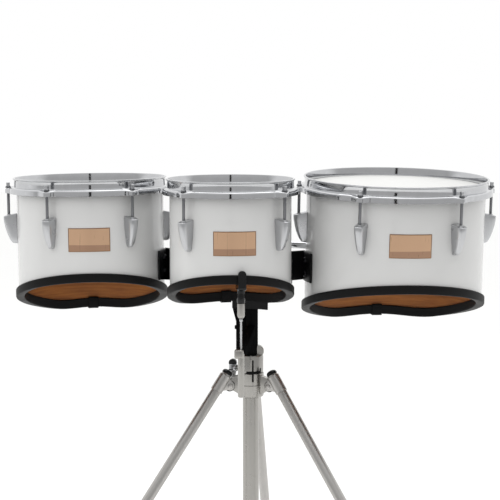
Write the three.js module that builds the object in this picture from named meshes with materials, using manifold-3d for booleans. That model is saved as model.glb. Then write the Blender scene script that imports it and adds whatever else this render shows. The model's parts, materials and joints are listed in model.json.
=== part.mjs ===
// Three marching tenor drums, joined by steel brackets and carried on a folding tripod stand.
// Millimetres, +Z up, X to the player's left and right, the audience side towards -Y.
// The origin ends at the middle of the footprint, on the floor.

import * as THREE from 'three';
import { mergeVertices } from 'three/addons/utils/BufferGeometryUtils.js';
import Module from 'manifold-3d';

const wasm = await Module();
wasm.setup();

// Driving dimensions of the whole object
const rimHeight = 900;          // tops of the hoops above the floor
const seatGap = 0.35;           // clearance where one piece seats on another
const turnGap = 0.6;            // clearance round a shaft that turns or slides
const cutOverrun = 6;           // how far a cutting solid runs past what it cuts
const mergeDistance = 0.0005;   // points closer than this are one point
const ringSides = 36;           // facets round a drum
const tubeSides = 16;           // facets round a stand tube
const legSides = 12;            // facets round a leg
const rodSides = 8;             // facets round a tension rod

// The drums. Angles are in degrees, counted from the audience side towards the right.
// The lower edge is a plane cut that drops from front to back, turned a little to the right, with a
// low arch cut at the rear.
const leftDrum = {
  name: 'left', diameter: 254, pitch: -0.67, roll: -0.61, drop: 4.7,
  cutMid: 211, cutRise: 41.2, cutTurn: 5, archRise: 6.8, archAngle: 36.4, archMid: 184,
  lugCount: 6, firstLug: -84.4,
};
const centreDrum = {
  name: 'centre', diameter: 203.2, pitch: 0, roll: 0, drop: 0,
  cutMid: 199, cutRise: 34.8, cutTurn: 2.2, archRise: 12.2, archAngle: 45.7, archMid: 191.7,
  lugCount: 4, firstLug: -40,
};
const rightDrum = {
  name: 'right', diameter: 304.8, pitch: 2.68, roll: 0.93, drop: 2.2,
  cutMid: 227.9, cutRise: 52.4, cutTurn: 4.7, archRise: 11, archAngle: 43.3, archMid: 184.9,
  lugCount: 6, firstLug: -85.5,
};
const drums = [leftDrum, centreDrum, rightDrum];
const leftSpacing = 43.1;       // free space between the left and centre shells
const rightSpacing = 37.6;      // free space between the right and centre shells
const leftBearing = 154.9;      // direction from the centre drum to the left drum, from +X
const rightBearing = 14.34;     // direction from the centre drum to the right drum
const columnBearing = 74.77;    // direction from the centre drum to the column

// Shell, head, counter hoop and edge guard, as heights below the rim and outsets from the shell
const shell = { wall: 6, bearingDepth: 14.9, bevelDrop: 4.5, edgeInset: 1.5, roundDrop: 1.6 };
const head = {
  film: 0.5, collar: 0.55, fleshOutset: 7, fleshTop: 20, fleshHeight: 4.6,
};
const hoop = {
  inset: 2.2, wall: 1.9, lipOutset: 6, lipHeight: 2.4, stepDepth: 15.4, sheet: 2.2,
  flangeOutset: 12.4, skirtDepth: 26, earOutset: 19.6, earHalfWidth: 15, earDip: 2,
};
const hoopEarShares = [-1, -0.62, -0.26, 0.26, 0.62, 1];
const hoopPlainSteps = { left: 4, centre: 6, right: 4 };
const guard = { height: 15, outset: 5, inset: 3.5, floor: 3.7, bevel: 2.2, lipDrop: 1.6 };
const clip = { width: 19, angle: 182.5, proud: 1.3 };

// Lug casings and tension rods
const lug = {
  top: 66, height: 47.5, reachTop: 23, reachBottom: 9, widthTop: 17, widthBottom: 8.5,
  collarRadius: 4.4, collarHeight: 5, boreDepth: 17,
};
const lugLevelShares = [0, 0.06, 0.4, 0.74, 1];
const lugTopShare = 0.86;       // how far the rounded top rim draws in
const lugReachPower = 1.7;
const lugWidthPower = 1.25;
const lugSideShares = [[0, 1], [0.64, 1], [1, 0.42]];
const rod = {
  radius: 2.5, circle: 14, headSize: 5.8, headHeight: 6, collarRadius: 5, collarHeight: 3.2,
  engagement: 14,
};

// Brackets that join the drums
const bracket = { top: 125, height: 51.5, sheet: 3.2 };
const bracketSteps = 4;
const leftBracket = { front: 6.1, back: 28, centreFront: 3.1, centreBack: -18.9 };
const rightBracket = { front: 4.1, back: -14.3, centreFront: -4.3, centreBack: 17.7 };

// Column parts: the black post, its mount on the centre drum, and the chrome brace to the right
const post = { radius: 12.5, wall: 2, top: 108, bottom: 620 };
const mount = {
  standoff: 14.9, left: 26, right: 32, plate: 4.5, top: 118, aboveArm: 31.5, neckHalfWidth: 15,
  ringWall: 6, ringTop: 112, ringHeight: 34,
};
const mountSteps = 6;
const rearBearing = 180;        // the centre drum's rear, counted from the audience side
const brace = {
  radius: 6.4, columnDepth: 122, drumDepth: 131, angle: -121, wallBeside: 3.2, socket: 26,
  socketWall: 3.5, padHalfHeight: 15, padHalfAngle: 5.5, padSheet: 3.5,
};

// Steady: the arm under the centre drum and the sprung cradle that carries its front edge.
// Drops are counted down from the arm's top.
const arm = { width: 17, height: 17, depth: 267 };
const gusset = {
  sheet: 6, topReach: 32, bottomReach: 26, belowMount: 1, kneeDrop: 23, endDrop: 46,
  boltRadius: 3.6, boltHead: 2.6, boltDrop: 3,
};
const steady = {
  angle: 10.4, knuckleSize: 15, knuckleDrop: 3, knuckleAside: 2, tubeRadius: 5.3, tubeDrop: 82,
  tubeTip: 4, screwRadius: 2, screwDrop: 37, nutRadius: 3.1, nutHeight: 3.6, nutTop: 221.3,
  sleeveRadius: 6, sleeveTop: 195.6, sleeveHeight: 24.4, sleeveTip: 3.6,
};
mount.bottom = arm.depth - mount.aboveArm;
gusset.top = mount.bottom + gusset.belowMount;
gusset.knee = gusset.top + gusset.kneeDrop;
gusset.end = arm.depth + gusset.endDrop;
gusset.boltDepth = arm.depth + gusset.boltDrop;
steady.knuckleTop = arm.depth + steady.knuckleDrop;
steady.tubeBottom = arm.depth + steady.tubeDrop;
steady.screwBottom = arm.depth + steady.screwDrop;
const cradle = {
  width: 13.7, prong: 6, prongTop: 141.5, innerTop: 152, saddle: 9, collarRadius: 6.6,
  collarBottom: 195.2, bore: 10,
};

// Height clamp, base tube, spider and legs. Drops are counted down from the clamp's top.
const baseTube = { radius: 14.3, wall: 1.3, topDrop: 4.4, bottom: 842 };
const clamp = {
  radius: 22, belowArm: 52, height: 32, slit: 3, slitDrop: 12, earRadius: 10.5,
  earOutset: 12.5, earRise: 5.5, earThickness: 13, bossRadius: 5.6, bossReach: 26,
  screwBearing: 165,
};
const clampScrewShare = 0.82;   // how far down the clamp its screw sits
clamp.top = arm.depth + clamp.belowArm;
clamp.bottom = clamp.top + clamp.height;
clamp.slitTop = clamp.top + clamp.slitDrop;
clamp.earDepth = clamp.top - clamp.earRise;
clamp.screwDepth = clamp.top + clamp.height * clampScrewShare;
baseTube.top = clamp.top + baseTube.topDrop;
const knob = {
  stemRadius: 3, stemLength: 9, hubRadius: 6, hubLength: 5, wingSpan: 15.6, wingRadius: 6.4,
  wingThickness: 8,
};
const spider = {
  radius: 23, height: 43.5, pinCircle: 42, pinDrop: 21.5, tongue: 8, slitDrop: 17,
  stopLength: 14,
};
spider.pinDepth = clamp.bottom + spider.pinDrop;
const leg = {
  splay: 35.5, offset: 16, topReach: 14.5, radius: 9, wrap: 1.6, wrapTop: 12, wrapBottom: 21,
  cheek: 2.4, cheekRadius: 8, pinRadius: 2.5, pinHeadRadius: 4.6, pinHead: 1.6, plugLength: 4,
  plugProud: 0.8, footRadius: 13, footLength: 40, footNeck: 11,
};
const legAzimuths = { front_left: -156, front_right: -36, rear: 84 };

const finishes = {
  lacquer: { color: 0xe9e9e7, roughness: 0.16, metalness: 0 },
  film: { color: 0xececea, roughness: 0.55, metalness: 0 },
  chrome: { color: 0xc9cbce, roughness: 0.12, metalness: 1 },
  rubber: { color: 0x1e1e1f, roughness: 0.75, metalness: 0 },
  blackSteel: { color: 0x141415, roughness: 0.42, metalness: 0.3 },
  darkSteel: { color: 0x3a3b3d, roughness: 0.38, metalness: 0.9 },
};

const radians = (degrees) => THREE.MathUtils.degToRad(degrees);
const point = (x, y, z) => new THREE.Vector3(x, y, z);
const midway = (a, b) => (a + b) / 2;

// A closed skin through loops of points: joined end to start, or capped at both ends.
function skin(loops, closed) {
  const size = loops[0].length;
  const positions = loops.flat().flatMap((p) => [p.x, p.y, p.z]);
  const faces = [];
  const spans = closed ? loops.length : loops.length - 1;
  for (let i = 0; i < spans; i += 1) {
    const here = i * size;
    const next = ((i + 1) % loops.length) * size;
    for (let j = 0; j < size; j += 1) {
      const k = (j + 1) % size;
      faces.push(here + j, here + k, next + k, here + j, next + k, next + j);
    }
  }
  if (!closed) {
    faces.push(...capFaces(loops[0], 0, true));
    faces.push(...capFaces(loops[loops.length - 1], (loops.length - 1) * size, false));
  }
  return outward(positions, faces);
}

// Triangles that close one loop, wound with it or against it.
function capFaces(loop, start, against) {
  const normal = point(0, 0, 0);
  loop.forEach((p, i) => normal.add(p.clone().cross(loop[(i + 1) % loop.length])));
  const across = Math.abs(normal.z) > Math.max(Math.abs(normal.x), Math.abs(normal.y));
  const alongX = Math.abs(normal.x) > Math.abs(normal.y);
  const flat = loop.map((p) => {
    if (across) return new THREE.Vector2(p.x, p.y);
    return alongX ? new THREE.Vector2(p.y, p.z) : new THREE.Vector2(p.x, p.z);
  });
  const turn = Math.sign(THREE.ShapeUtils.area(flat));
  return THREE.ShapeUtils.triangulateShape(flat, []).flatMap(([a, b, c]) => {
    const same = Math.sign(THREE.ShapeUtils.area([flat[a], flat[b], flat[c]])) === turn;
    return same === against ? [start + a, start + c, start + b] : [start + a, start + b, start + c];
  });
}

// A geometry whose faces point out, whichever way its loops ran.
function outward(positions, faces) {
  const corner = (i) => point(...positions.slice(i * 3, i * 3 + 3));
  let volume = 0;
  for (let i = 0; i < faces.length; i += 3) {
    volume += corner(faces[i]).dot(corner(faces[i + 1]).cross(corner(faces[i + 2])));
  }
  const geometry = new THREE.BufferGeometry();
  geometry.setAttribute('position', new THREE.Float32BufferAttribute(positions, 3));
  geometry.setIndex(volume < 0 ? faces.slice().reverse() : faces);
  return geometry;
}

// A ring round Z: sectionAt gives the closed section, as [radius, height], at each angle.
function ringSolid(angles, sectionAt, closed = true) {
  const loops = angles.map((angle) => sectionAt(angle).map(([radius, height]) => (
    point(radius * Math.sin(radians(angle)), -radius * Math.cos(radians(angle)), height))));
  return skin(loops, closed);
}

// A turned solid about Z from a profile of [radius, height] that starts and ends on the axis.
function turned(profile, sides) {
  const points = profile.map(([radius, height]) => new THREE.Vector2(radius, height));
  return new THREE.LatheGeometry(points, sides).rotateX(Math.PI / 2);
}

// A round bar between two points, or a cone where the end radius differs.
function bar(from, to, radius, sides, endRadius = radius) {
  const along = to.clone().sub(from);
  const geometry = new THREE.CylinderGeometry(endRadius, radius, along.length(), sides);
  const turn = new THREE.Quaternion().setFromUnitVectors(point(0, 1, 0), along.clone().normalize());
  geometry.applyQuaternion(turn);
  const middle = from.clone().add(to).divideScalar(2);
  return geometry.translate(middle.x, middle.y, middle.z);
}

// A block between two opposite corners.
function block(low, high) {
  const size = high.clone().sub(low);
  const middle = low.clone().add(high).divideScalar(2);
  return new THREE.BoxGeometry(size.x, size.y, size.z).translate(middle.x, middle.y, middle.z);
}

// An outline in X and Z given a thickness along Y, centred on the plane Y = 0.
function plate(shape, thickness, curveSegments = 4) {
  const geometry = new THREE.ExtrudeGeometry(shape, {
    depth: thickness, bevelEnabled: false, curveSegments,
  });
  return geometry.translate(0, 0, -thickness / 2).rotateX(Math.PI / 2);
}

function toSolid(geometry) {
  const bare = geometry.clone();
  bare.deleteAttribute('normal');
  bare.deleteAttribute('uv');
  const merged = mergeVertices(bare, mergeDistance);
  const index = merged.index.array;
  const faces = [];
  for (let i = 0; i < index.length; i += 3) {
    const [a, b, c] = [index[i], index[i + 1], index[i + 2]];
    if (a !== b && b !== c && c !== a) faces.push(a, b, c);
  }
  return new wasm.Manifold(new wasm.Mesh({
    numProp: 3,
    vertProperties: new Float32Array(merged.attributes.position.array),
    triVerts: new Uint32Array(faces),
  }));
}

function toGeometry(solid) {
  const { vertProperties, triVerts } = solid.getMesh();
  const geometry = new THREE.BufferGeometry();
  geometry.setAttribute('position', new THREE.BufferAttribute(vertProperties, 3));
  geometry.setIndex(new THREE.BufferAttribute(triVerts, 1));
  return geometry;
}

// Pieces joined into one solid, then cut.
function joined(pieces, cuts = []) {
  let solid = toSolid(pieces[0]);
  pieces.slice(1).forEach((piece) => { solid = solid.add(toSolid(piece)); });
  cuts.forEach((cut) => { solid = solid.subtract(toSolid(cut)); });
  return toGeometry(solid);
}

function mesh(name, geometry, finish) {
  geometry.computeVertexNormals();
  const made = new THREE.Mesh(geometry, new THREE.MeshStandardMaterial(finish));
  made.name = name;
  return made;
}

const evenAngles = (count) => Array.from({ length: count }, (_, i) => (i * 360) / count);
const spanAngles = (from, to, steps) => (
  Array.from({ length: steps + 1 }, (_, i) => from + ((to - from) * i) / steps));

// Places in plan. The column stands at zero until the whole group is centred at the end.
const bearingStep = (degrees, distance) => (
  new THREE.Vector2(Math.cos(radians(degrees)), Math.sin(radians(degrees))).multiplyScalar(distance));
drums.forEach((drum) => { drum.radius = drum.diameter / 2; });
const columnDistance = centreDrum.radius + mount.standoff + post.radius;
centreDrum.plan = bearingStep(columnBearing, -columnDistance);
leftDrum.plan = centreDrum.plan.clone()
  .add(bearingStep(leftBearing, leftDrum.radius + leftSpacing + centreDrum.radius));
rightDrum.plan = centreDrum.plan.clone()
  .add(bearingStep(rightBearing, rightDrum.radius + rightSpacing + centreDrum.radius));

function drumGroup(drum) {
  const group = new THREE.Group();
  group.position.set(drum.plan.x, drum.plan.y, rimHeight - drum.drop);
  group.rotation.order = 'YXZ';
  group.rotation.set(radians(drum.pitch), radians(drum.roll), 0);
  group.updateMatrix();
  return group;
}

// The middle of a drum at a depth below the rim plane, following its lean.
function middleAt(drum, depth) {
  const { matrix } = drumGroup(drum);
  const axis = point(0, 0, 1).transformDirection(matrix);
  const top = point(drum.plan.x, drum.plan.y, rimHeight - drum.drop);
  return top.add(axis.multiplyScalar((rimHeight - depth - top.z) / axis.z));
}

// A point outside a drum's shell at an angle, an outset from the shell and a depth.
function besideShell(drum, angle, outset, depth) {
  const middle = middleAt(drum, depth);
  const radius = drum.radius + outset;
  return point(
    middle.x + radius * Math.sin(radians(angle)),
    middle.y - radius * Math.cos(radians(angle)),
    rimHeight - depth,
  );
}

// Angle on one drum that faces another drum.
function facing(drum, other) {
  const way = other.plan.clone().sub(drum.plan);
  return THREE.MathUtils.radToDeg(Math.atan2(way.x, -way.y));
}

// Depth of the guard's lower edge at an angle.
function cutDepth(drum, angle) {
  const away = THREE.MathUtils.euclideanModulo(angle - drum.archMid, 2 * rearBearing);
  const off = Math.min(away, 2 * rearBearing - away);
  const arch = off < drum.archAngle
    ? (drum.archRise * (1 + Math.cos((Math.PI * off) / drum.archAngle))) / 2 : 0;
  return drum.cutMid - drum.cutRise * Math.cos(radians(angle - drum.cutTurn)) - arch;
}

// Shell: a wooden cylinder with a bevelled bearing edge above and the slanted cut below
function shellGeometry(drum) {
  const outer = drum.radius;
  const inner = outer - shell.wall;
  return ringSolid(evenAngles(ringSides), (angle) => {
    const low = -cutDepth(drum, angle) + guard.floor + seatGap;
    return [
      [inner, low],
      [outer, low],
      [outer, -shell.bearingDepth - shell.roundDrop],
      [outer - shell.edgeInset, -shell.bearingDepth],
      [inner, -shell.bearingDepth - shell.bevelDrop],
    ];
  });
}

// Head: a film over the bearing edge, with its collar and the flesh hoop that it is set in
function headGeometry(drum) {
  const under = -shell.bearingDepth + seatGap;
  const inside = drum.radius + seatGap;
  const outside = inside + head.collar;
  const crown = drum.radius - shell.edgeInset + seatGap;
  return turned([
    [0, under],
    [crown, under],
    [inside, under - shell.roundDrop],
    [inside, -head.fleshTop - head.fleshHeight],
    [drum.radius + head.fleshOutset, -head.fleshTop - head.fleshHeight],
    [drum.radius + head.fleshOutset, -head.fleshTop],
    [outside, -head.fleshTop],
    [outside, under - shell.roundDrop + head.collar],
    [crown, under + head.film],
    [0, under + head.film],
  ], ringSides);
}

const lugAngles = (drum) => evenAngles(drum.lugCount).map((angle) => drum.firstLug + angle);

// How far the hoop is drawn out and down beside a rod, as a share, at a share of the ear's half width
const hoopSwell = (off) => (Math.abs(off) < 1 ? Math.cos((off * Math.PI) / 2) : 0);

// Counter hoop: a pressed steel ring in three bends, with an ear round each tension rod
function hoopGeometry(drum) {
  const earAngle = THREE.MathUtils.radToDeg(hoop.earHalfWidth / (drum.radius + hoop.flangeOutset));
  const pitchAngle = 360 / drum.lugCount;
  const plainSteps = hoopPlainSteps[drum.name];
  const angles = lugAngles(drum).flatMap((middle) => [
    ...hoopEarShares.map((share) => middle + share * earAngle),
    ...spanAngles(middle + earAngle, middle + pitchAngle - earAngle, plainSteps).slice(1, -1),
  ]);
  const inner = drum.radius + hoop.inset;
  const lip = drum.radius + hoop.lipOutset;
  const ring = ringSolid(angles, (angle) => {
    const away = THREE.MathUtils.euclideanModulo(angle - drum.firstLug, pitchAngle);
    const off = Math.min(away, pitchAngle - away) / earAngle;
    const swell = hoopSwell(off);
    const skirt = drum.radius + hoop.flangeOutset + (hoop.earOutset - hoop.flangeOutset) * swell;
    const step = -hoop.stepDepth - hoop.earDip * swell;
    return [
      [inner, 0],
      [lip, 0],
      [lip, -hoop.lipHeight],
      [inner + hoop.wall, -hoop.lipHeight - hoop.sheet / 2],
      [inner + hoop.wall, step],
      [skirt, step],
      [skirt, -hoop.skirtDepth],
      [skirt - hoop.sheet, -hoop.skirtDepth],
      [skirt - hoop.sheet, step - hoop.sheet],
      [inner, step - hoop.sheet],
    ];
  });
  const holes = lugAngles(drum).map((angle) => {
    const place = rodPlace(drum, angle);
    return bar(
      point(place.x, place.y, -hoop.stepDepth + cutOverrun),
      point(place.x, place.y, -hoop.skirtDepth - cutOverrun),
      rod.radius + turnGap + seatGap,
      rodSides,
    );
  });
  return joined([ring], holes);
}

function rodPlace(drum, angle) {
  const radius = drum.radius + rod.circle;
  return point(radius * Math.sin(radians(angle)), -radius * Math.cos(radians(angle)), 0);
}

// Edge guard: a rubber channel pressed on the shell's lower edge, closed by a clip at the rear
function guardSection(drum, angle, proud) {
  const low = -cutDepth(drum, angle) - proud;
  const high = -cutDepth(drum, angle) + guard.height + proud;
  const outer = drum.radius + guard.outset + proud;
  const inner = drum.radius - shell.wall - guard.inset - proud;
  const slotFloor = -cutDepth(drum, angle) + guard.floor;
  return [
    [drum.radius + seatGap, high],
    [outer, high - guard.lipDrop],
    [outer, low + guard.bevel],
    [outer - guard.bevel, low],
    [inner, low + guard.bevel / 2],
    [inner, high],
    [drum.radius - shell.wall - seatGap, high],
    [drum.radius - shell.wall - seatGap, slotFloor],
    [drum.radius + seatGap, slotFloor],
  ];
}

// How much nearer to the axis a flat facet of a drum's ring is at an angle than its corners are
function facetShare(angle) {
  const facet = 360 / ringSides;
  const fromMiddle = THREE.MathUtils.euclideanModulo(angle, facet) - facet / 2;
  return Math.cos(radians(facet / 2)) / Math.cos(radians(fromMiddle));
}

function guardGeometry(drum) {
  const half = THREE.MathUtils.radToDeg(clip.width / 2 / drum.radius);
  const corners = evenAngles(ringSides).filter((angle) => Math.abs(angle - clip.angle) < half);
  const channel = ringSolid(evenAngles(ringSides), (angle) => guardSection(drum, angle, 0));
  const sleeve = ringSolid(
    [clip.angle - half, ...corners, clip.angle + half],
    (angle) => guardSection(drum, angle, clip.proud)
      .map(([radius, height]) => [radius * facetShare(angle), height]),
    false,
  );
  return joined([channel, sleeve]);
}

// Lug casing: a faceted drop that narrows downwards, with the swivel nut's collar on top
function lugGeometry(drum, angle) {
  const back = drum.radius + seatGap;
  const loops = lugLevelShares.map((share) => {
    const draw = share === 0 ? lugTopShare : 1;
    const fallen = (lug.reachTop - lug.reachBottom) * share ** lugReachPower;
    const reach = (lug.reachTop - fallen) * draw;
    const narrowed = (lug.widthTop - lug.widthBottom) * share ** lugWidthPower;
    const half = ((lug.widthTop - narrowed) / 2) * draw;
    const height = -lug.top - lug.height * share;
    const side = lugSideShares.map(([out, wide]) => [back + (reach - seatGap) * out, half * wide]);
    const other = side.slice().reverse().map(([out, wide]) => [out, -wide]);
    return [...side, ...other].map(([out, wide]) => point(wide, -out, height));
  });
  const axis = -(drum.radius + rod.circle);
  const collarTop = -lug.top + lug.collarHeight;
  const collar = bar(
    point(0, axis, -lug.top - lug.collarHeight),
    point(0, axis, collarTop),
    lug.collarRadius,
    rodSides,
  );
  const bore = bar(
    point(0, axis, -lug.top - lug.boreDepth),
    point(0, axis, collarTop + cutOverrun),
    rod.radius + turnGap,
    rodSides,
  );
  return joined([skin(loops, false), collar], [bore]).rotateZ(radians(angle));
}

// Tension rod: square key head and washer collar on the hoop's ear, shank down into the lug
function rodGeometry(drum, angle) {
  const earTop = -hoop.stepDepth - hoop.earDip * hoopSwell(hoopEarShares[3]) + seatGap;
  const collarTop = earTop + rod.collarHeight;
  const shank = turned([
    [0, -lug.top - rod.engagement],
    [rod.radius, -lug.top - rod.engagement],
    [rod.radius, earTop],
    [rod.collarRadius, earTop],
    [rod.collarRadius, collarTop],
    [0, collarTop],
  ], rodSides);
  const half = rod.headSize / 2;
  const key = block(
    point(-half, -half, midway(earTop, collarTop)),
    point(half, half, collarTop + rod.headHeight),
  );
  const place = rodPlace(drum, 0);
  return joined([shank, key]).translate(place.x, place.y, 0).rotateZ(radians(angle));
}

// Joining bracket: a steel strip that lies on both shells and crosses the space behind them
function bracketGeometry(drum, ends) {
  const face = facing(drum, centreDrum);
  const centreFace = facing(centreDrum, drum);
  const inner = 2 * seatGap;
  const outer = inner + bracket.sheet;
  const loops = [bracket.top, bracket.top + bracket.height].map((depth) => {
    const strip = (outset, trim) => {
      const shrink = trim * THREE.MathUtils.radToDeg(bracket.sheet / drum.radius);
      const centreShrink = trim * THREE.MathUtils.radToDeg(bracket.sheet / centreDrum.radius);
      const turn = Math.sign(ends.back - ends.front);
      const centreTurn = Math.sign(ends.centreBack - ends.centreFront);
      return [
        ...spanAngles(face + ends.front, face + ends.back - turn * shrink, bracketSteps)
          .map((angle) => besideShell(drum, angle, outset, depth)),
        ...spanAngles(
          centreFace + ends.centreBack - centreTurn * centreShrink,
          centreFace + ends.centreFront,
          bracketSteps,
        ).map((angle) => besideShell(centreDrum, angle, outset, depth)),
      ];
    };
    return [...strip(inner, 0), ...strip(outer, 2).reverse()];
  });
  return skin(loops, false);
}

// Frame of the mount: +Y from the centre drum's middle to the column, height from the rim
function atColumn(geometry) {
  return geometry.rotateZ(radians(columnBearing) - Math.PI / 2);
}

// Mount: a curved plate on the centre drum's rear, a neck and a ring that holds the post
function mountGeometry() {
  const inner = centreDrum.radius + 2 * seatGap;
  const turnOf = (width) => THREE.MathUtils.radToDeg(width / centreDrum.radius);
  const saddle = ringSolid(
    spanAngles(rearBearing - turnOf(mount.right), rearBearing + turnOf(mount.left), mountSteps),
    () => [
      [inner, rimHeight - mount.bottom],
      [inner + mount.plate + guard.outset, rimHeight - mount.bottom],
      [inner + mount.plate + guard.outset, rimHeight - mount.top - mount.ringHeight * 2],
      [inner + mount.plate, rimHeight - mount.top],
      [inner, rimHeight - mount.top],
    ],
    false,
  ).translate(0, -columnDistance, 0);
  const wall = -columnDistance + centreDrum.radius;
  const neck = block(
    point(-mount.neckHalfWidth, wall + mount.plate, rimHeight - mount.bottom),
    point(mount.neckHalfWidth, -post.radius / 2, rimHeight - mount.top),
  );
  const ringOuter = post.radius + mount.ringWall;
  const ring = bar(
    point(0, 0, rimHeight - mount.ringTop - mount.ringHeight),
    point(0, 0, rimHeight - mount.ringTop),
    ringOuter,
    tubeSides,
  );
  const guardCut = ringSolid(
    spanAngles(
      rearBearing - 2 * turnOf(mount.right),
      rearBearing + 2 * turnOf(mount.right),
      mountSteps * 2,
    ),
    (angle) => {
      const real = angle + columnBearing - 90;
      const high = rimHeight - cutDepth(centreDrum, real) + guard.height + 2 * clip.proud + seatGap;
      return [
        [centreDrum.radius - cutOverrun, rimHeight - mount.bottom - cutOverrun],
        [centreDrum.radius + guard.outset + clip.proud + seatGap, rimHeight - mount.bottom - cutOverrun],
        [centreDrum.radius + guard.outset + clip.proud + seatGap, high],
        [centreDrum.radius - cutOverrun, high],
      ];
    },
    false,
  ).translate(0, -columnDistance, 0);
  const postCut = bar(
    point(0, 0, rimHeight - mount.bottom - cutOverrun),
    point(0, 0, rimHeight - mount.ringTop + cutOverrun),
    post.radius + seatGap,
    tubeSides,
  );
  const bodyParts = [saddle, neck, ring].map(atColumn);
  const cuts = [guardCut, postCut].map(atColumn);
  const [start, end] = braceEnds();
  const way = end.clone().sub(start).normalize();
  bodyParts.push(bar(
    start.clone().addScaledVector(way, -brace.socketWall),
    start.clone().addScaledVector(way, brace.socket),
    brace.radius + brace.socketWall,
    tubeSides,
  ));
  cuts.push(bar(
    start.clone().addScaledVector(way, -seatGap),
    start.clone().addScaledVector(way, brace.socket + cutOverrun),
    brace.radius + seatGap,
    tubeSides,
  ));
  return joined(bodyParts, cuts);
}

// Brace: a chrome tube from the mount, past the column, to a pad on the right drum's rear
function braceEnds() {
  const beside = post.radius + seatGap + brace.wallBeside + seatGap + brace.radius;
  const start = point(-brace.radius, beside, rimHeight - brace.columnDepth);
  return [start, besideShell(rightDrum, brace.angle, 0, brace.drumDepth)];
}

function braceGeometry() {
  const [start, end] = braceEnds();
  const tube = bar(start, end, brace.radius, tubeSides);
  const depths = [brace.drumDepth - brace.padHalfHeight, brace.drumDepth + brace.padHalfHeight];
  const angles = spanAngles(brace.angle - brace.padHalfAngle, brace.angle + brace.padHalfAngle, 3);
  const strip = (outset, depth) => angles.map((angle) => besideShell(rightDrum, angle, outset, depth));
  const padLoop = (inner, outer) => depths.map((depth) => (
    [...strip(inner, depth), ...strip(outer, depth).reverse()]));
  const pad = skin(padLoop(2 * seatGap, 2 * seatGap + brace.padSheet), false);
  const tall = 2 * brace.padHalfHeight;
  const wide = 3 * brace.padHalfAngle;
  const shellDepths = [brace.drumDepth - tall, brace.drumDepth + tall];
  const shellSpan = spanAngles(brace.angle - wide, brace.angle + wide, 9);
  const shellCut = skin(shellDepths.map((depth) => [
    ...shellSpan.map((angle) => besideShell(rightDrum, angle, 2 * seatGap, depth)),
    ...shellSpan.map((angle) => besideShell(rightDrum, angle, -4 * cutOverrun, depth)).reverse(),
  ]), false);
  return joined([tube, pad], [shellCut]);
}

// Place of the steady's axis in plan, under the middle of the centre drum's front edge
function steadyPlan() {
  const edge = -(shell.wall + guard.inset - guard.outset) / 2;
  const place = besideShell(centreDrum, steady.angle, edge, centreDrum.cutMid);
  return new THREE.Vector2(place.x, place.y);
}

// Post weldment: the tube with its closed top, the square arm to the steady and the gusset
function postGeometry() {
  const outer = bar(
    point(0, 0, rimHeight - post.bottom),
    point(0, 0, rimHeight - post.top),
    post.radius,
    tubeSides,
  );
  const bore = bar(
    point(0, 0, rimHeight - post.bottom - cutOverrun),
    point(0, 0, rimHeight - post.top - post.wall),
    post.radius - post.wall,
    tubeSides,
  );
  const end = steadyPlan();
  const reach = end.length() - steady.knuckleSize / 2 - seatGap;
  const beam = block(
    point(-arm.width / 2, -reach, rimHeight - arm.depth - arm.height),
    point(arm.width / 2, 0, rimHeight - arm.depth),
  ).rotateZ(Math.atan2(end.x, -end.y));
  const front = -post.radius / 2;
  const outline = (side, depth) => [
    point(0, front - gusset.sheet / 2, rimHeight - depth),
    point(0, front + gusset.sheet / 2, rimHeight - depth),
    point(-side, front + gusset.sheet / 2, rimHeight - depth),
    point(-side, front - gusset.sheet / 2, rimHeight - depth),
  ];
  const web = skin([
    outline(gusset.bottomReach, gusset.end),
    outline(gusset.bottomReach, gusset.knee),
    outline(gusset.topReach, gusset.top),
  ], false);
  const bolt = bar(
    point(-post.radius, front, rimHeight - gusset.boltDepth),
    point(-gusset.bottomReach - gusset.boltHead, front, rimHeight - gusset.boltDepth),
    gusset.boltRadius,
    rodSides,
  );
  const hollow = toSolid(outer).subtract(toSolid(bore));
  const arms = toSolid(beam).add(toSolid(web)).add(toSolid(bolt));
  return toGeometry(arms.subtract(toSolid(bore)).add(hollow));
}

// Steady tube: the knuckle at the arm's end with the spring's tube below it
function steadyTubeGeometry() {
  const half = steady.knuckleSize / 2;
  const top = rimHeight - steady.knuckleTop;
  const knuckle = block(
    point(-half - steady.knuckleAside, -half, top - steady.knuckleSize),
    point(half - steady.knuckleAside, half, top),
  );
  const bottom = rimHeight - steady.tubeBottom;
  const tube = turned([
    [0, bottom],
    [steady.tubeRadius - steady.tubeTip / 2, bottom],
    [steady.tubeRadius, bottom + steady.tubeTip],
    [steady.tubeRadius, top - half],
    [0, top - half],
  ], tubeSides);
  const bore = bar(
    point(0, 0, bottom + 2 * steady.tubeTip),
    point(0, 0, top + cutOverrun),
    steady.screwRadius + turnGap,
    rodSides,
  );
  const end = steadyPlan();
  const place = joined([knuckle, tube], [bore]);
  return place.rotateZ(Math.atan2(end.x, -end.y)).translate(end.x, end.y, 0);
}

function steadyScrewGeometry() {
  const screw = turned([
    [0, rimHeight - steady.screwBottom],
    [steady.screwRadius, rimHeight - steady.screwBottom],
    [steady.screwRadius, rimHeight - steady.nutTop - steady.nutHeight],
    [steady.nutRadius, rimHeight - steady.nutTop - steady.nutHeight],
    [steady.nutRadius, rimHeight - steady.nutTop],
    [steady.screwRadius, rimHeight - steady.nutTop],
    [steady.screwRadius, rimHeight - cradle.collarBottom + cradle.bore - seatGap],
    [0, rimHeight - cradle.collarBottom + cradle.bore - seatGap],
  ], rodSides);
  const end = steadyPlan();
  return joined([screw]).translate(end.x, end.y, 0);
}

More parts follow.
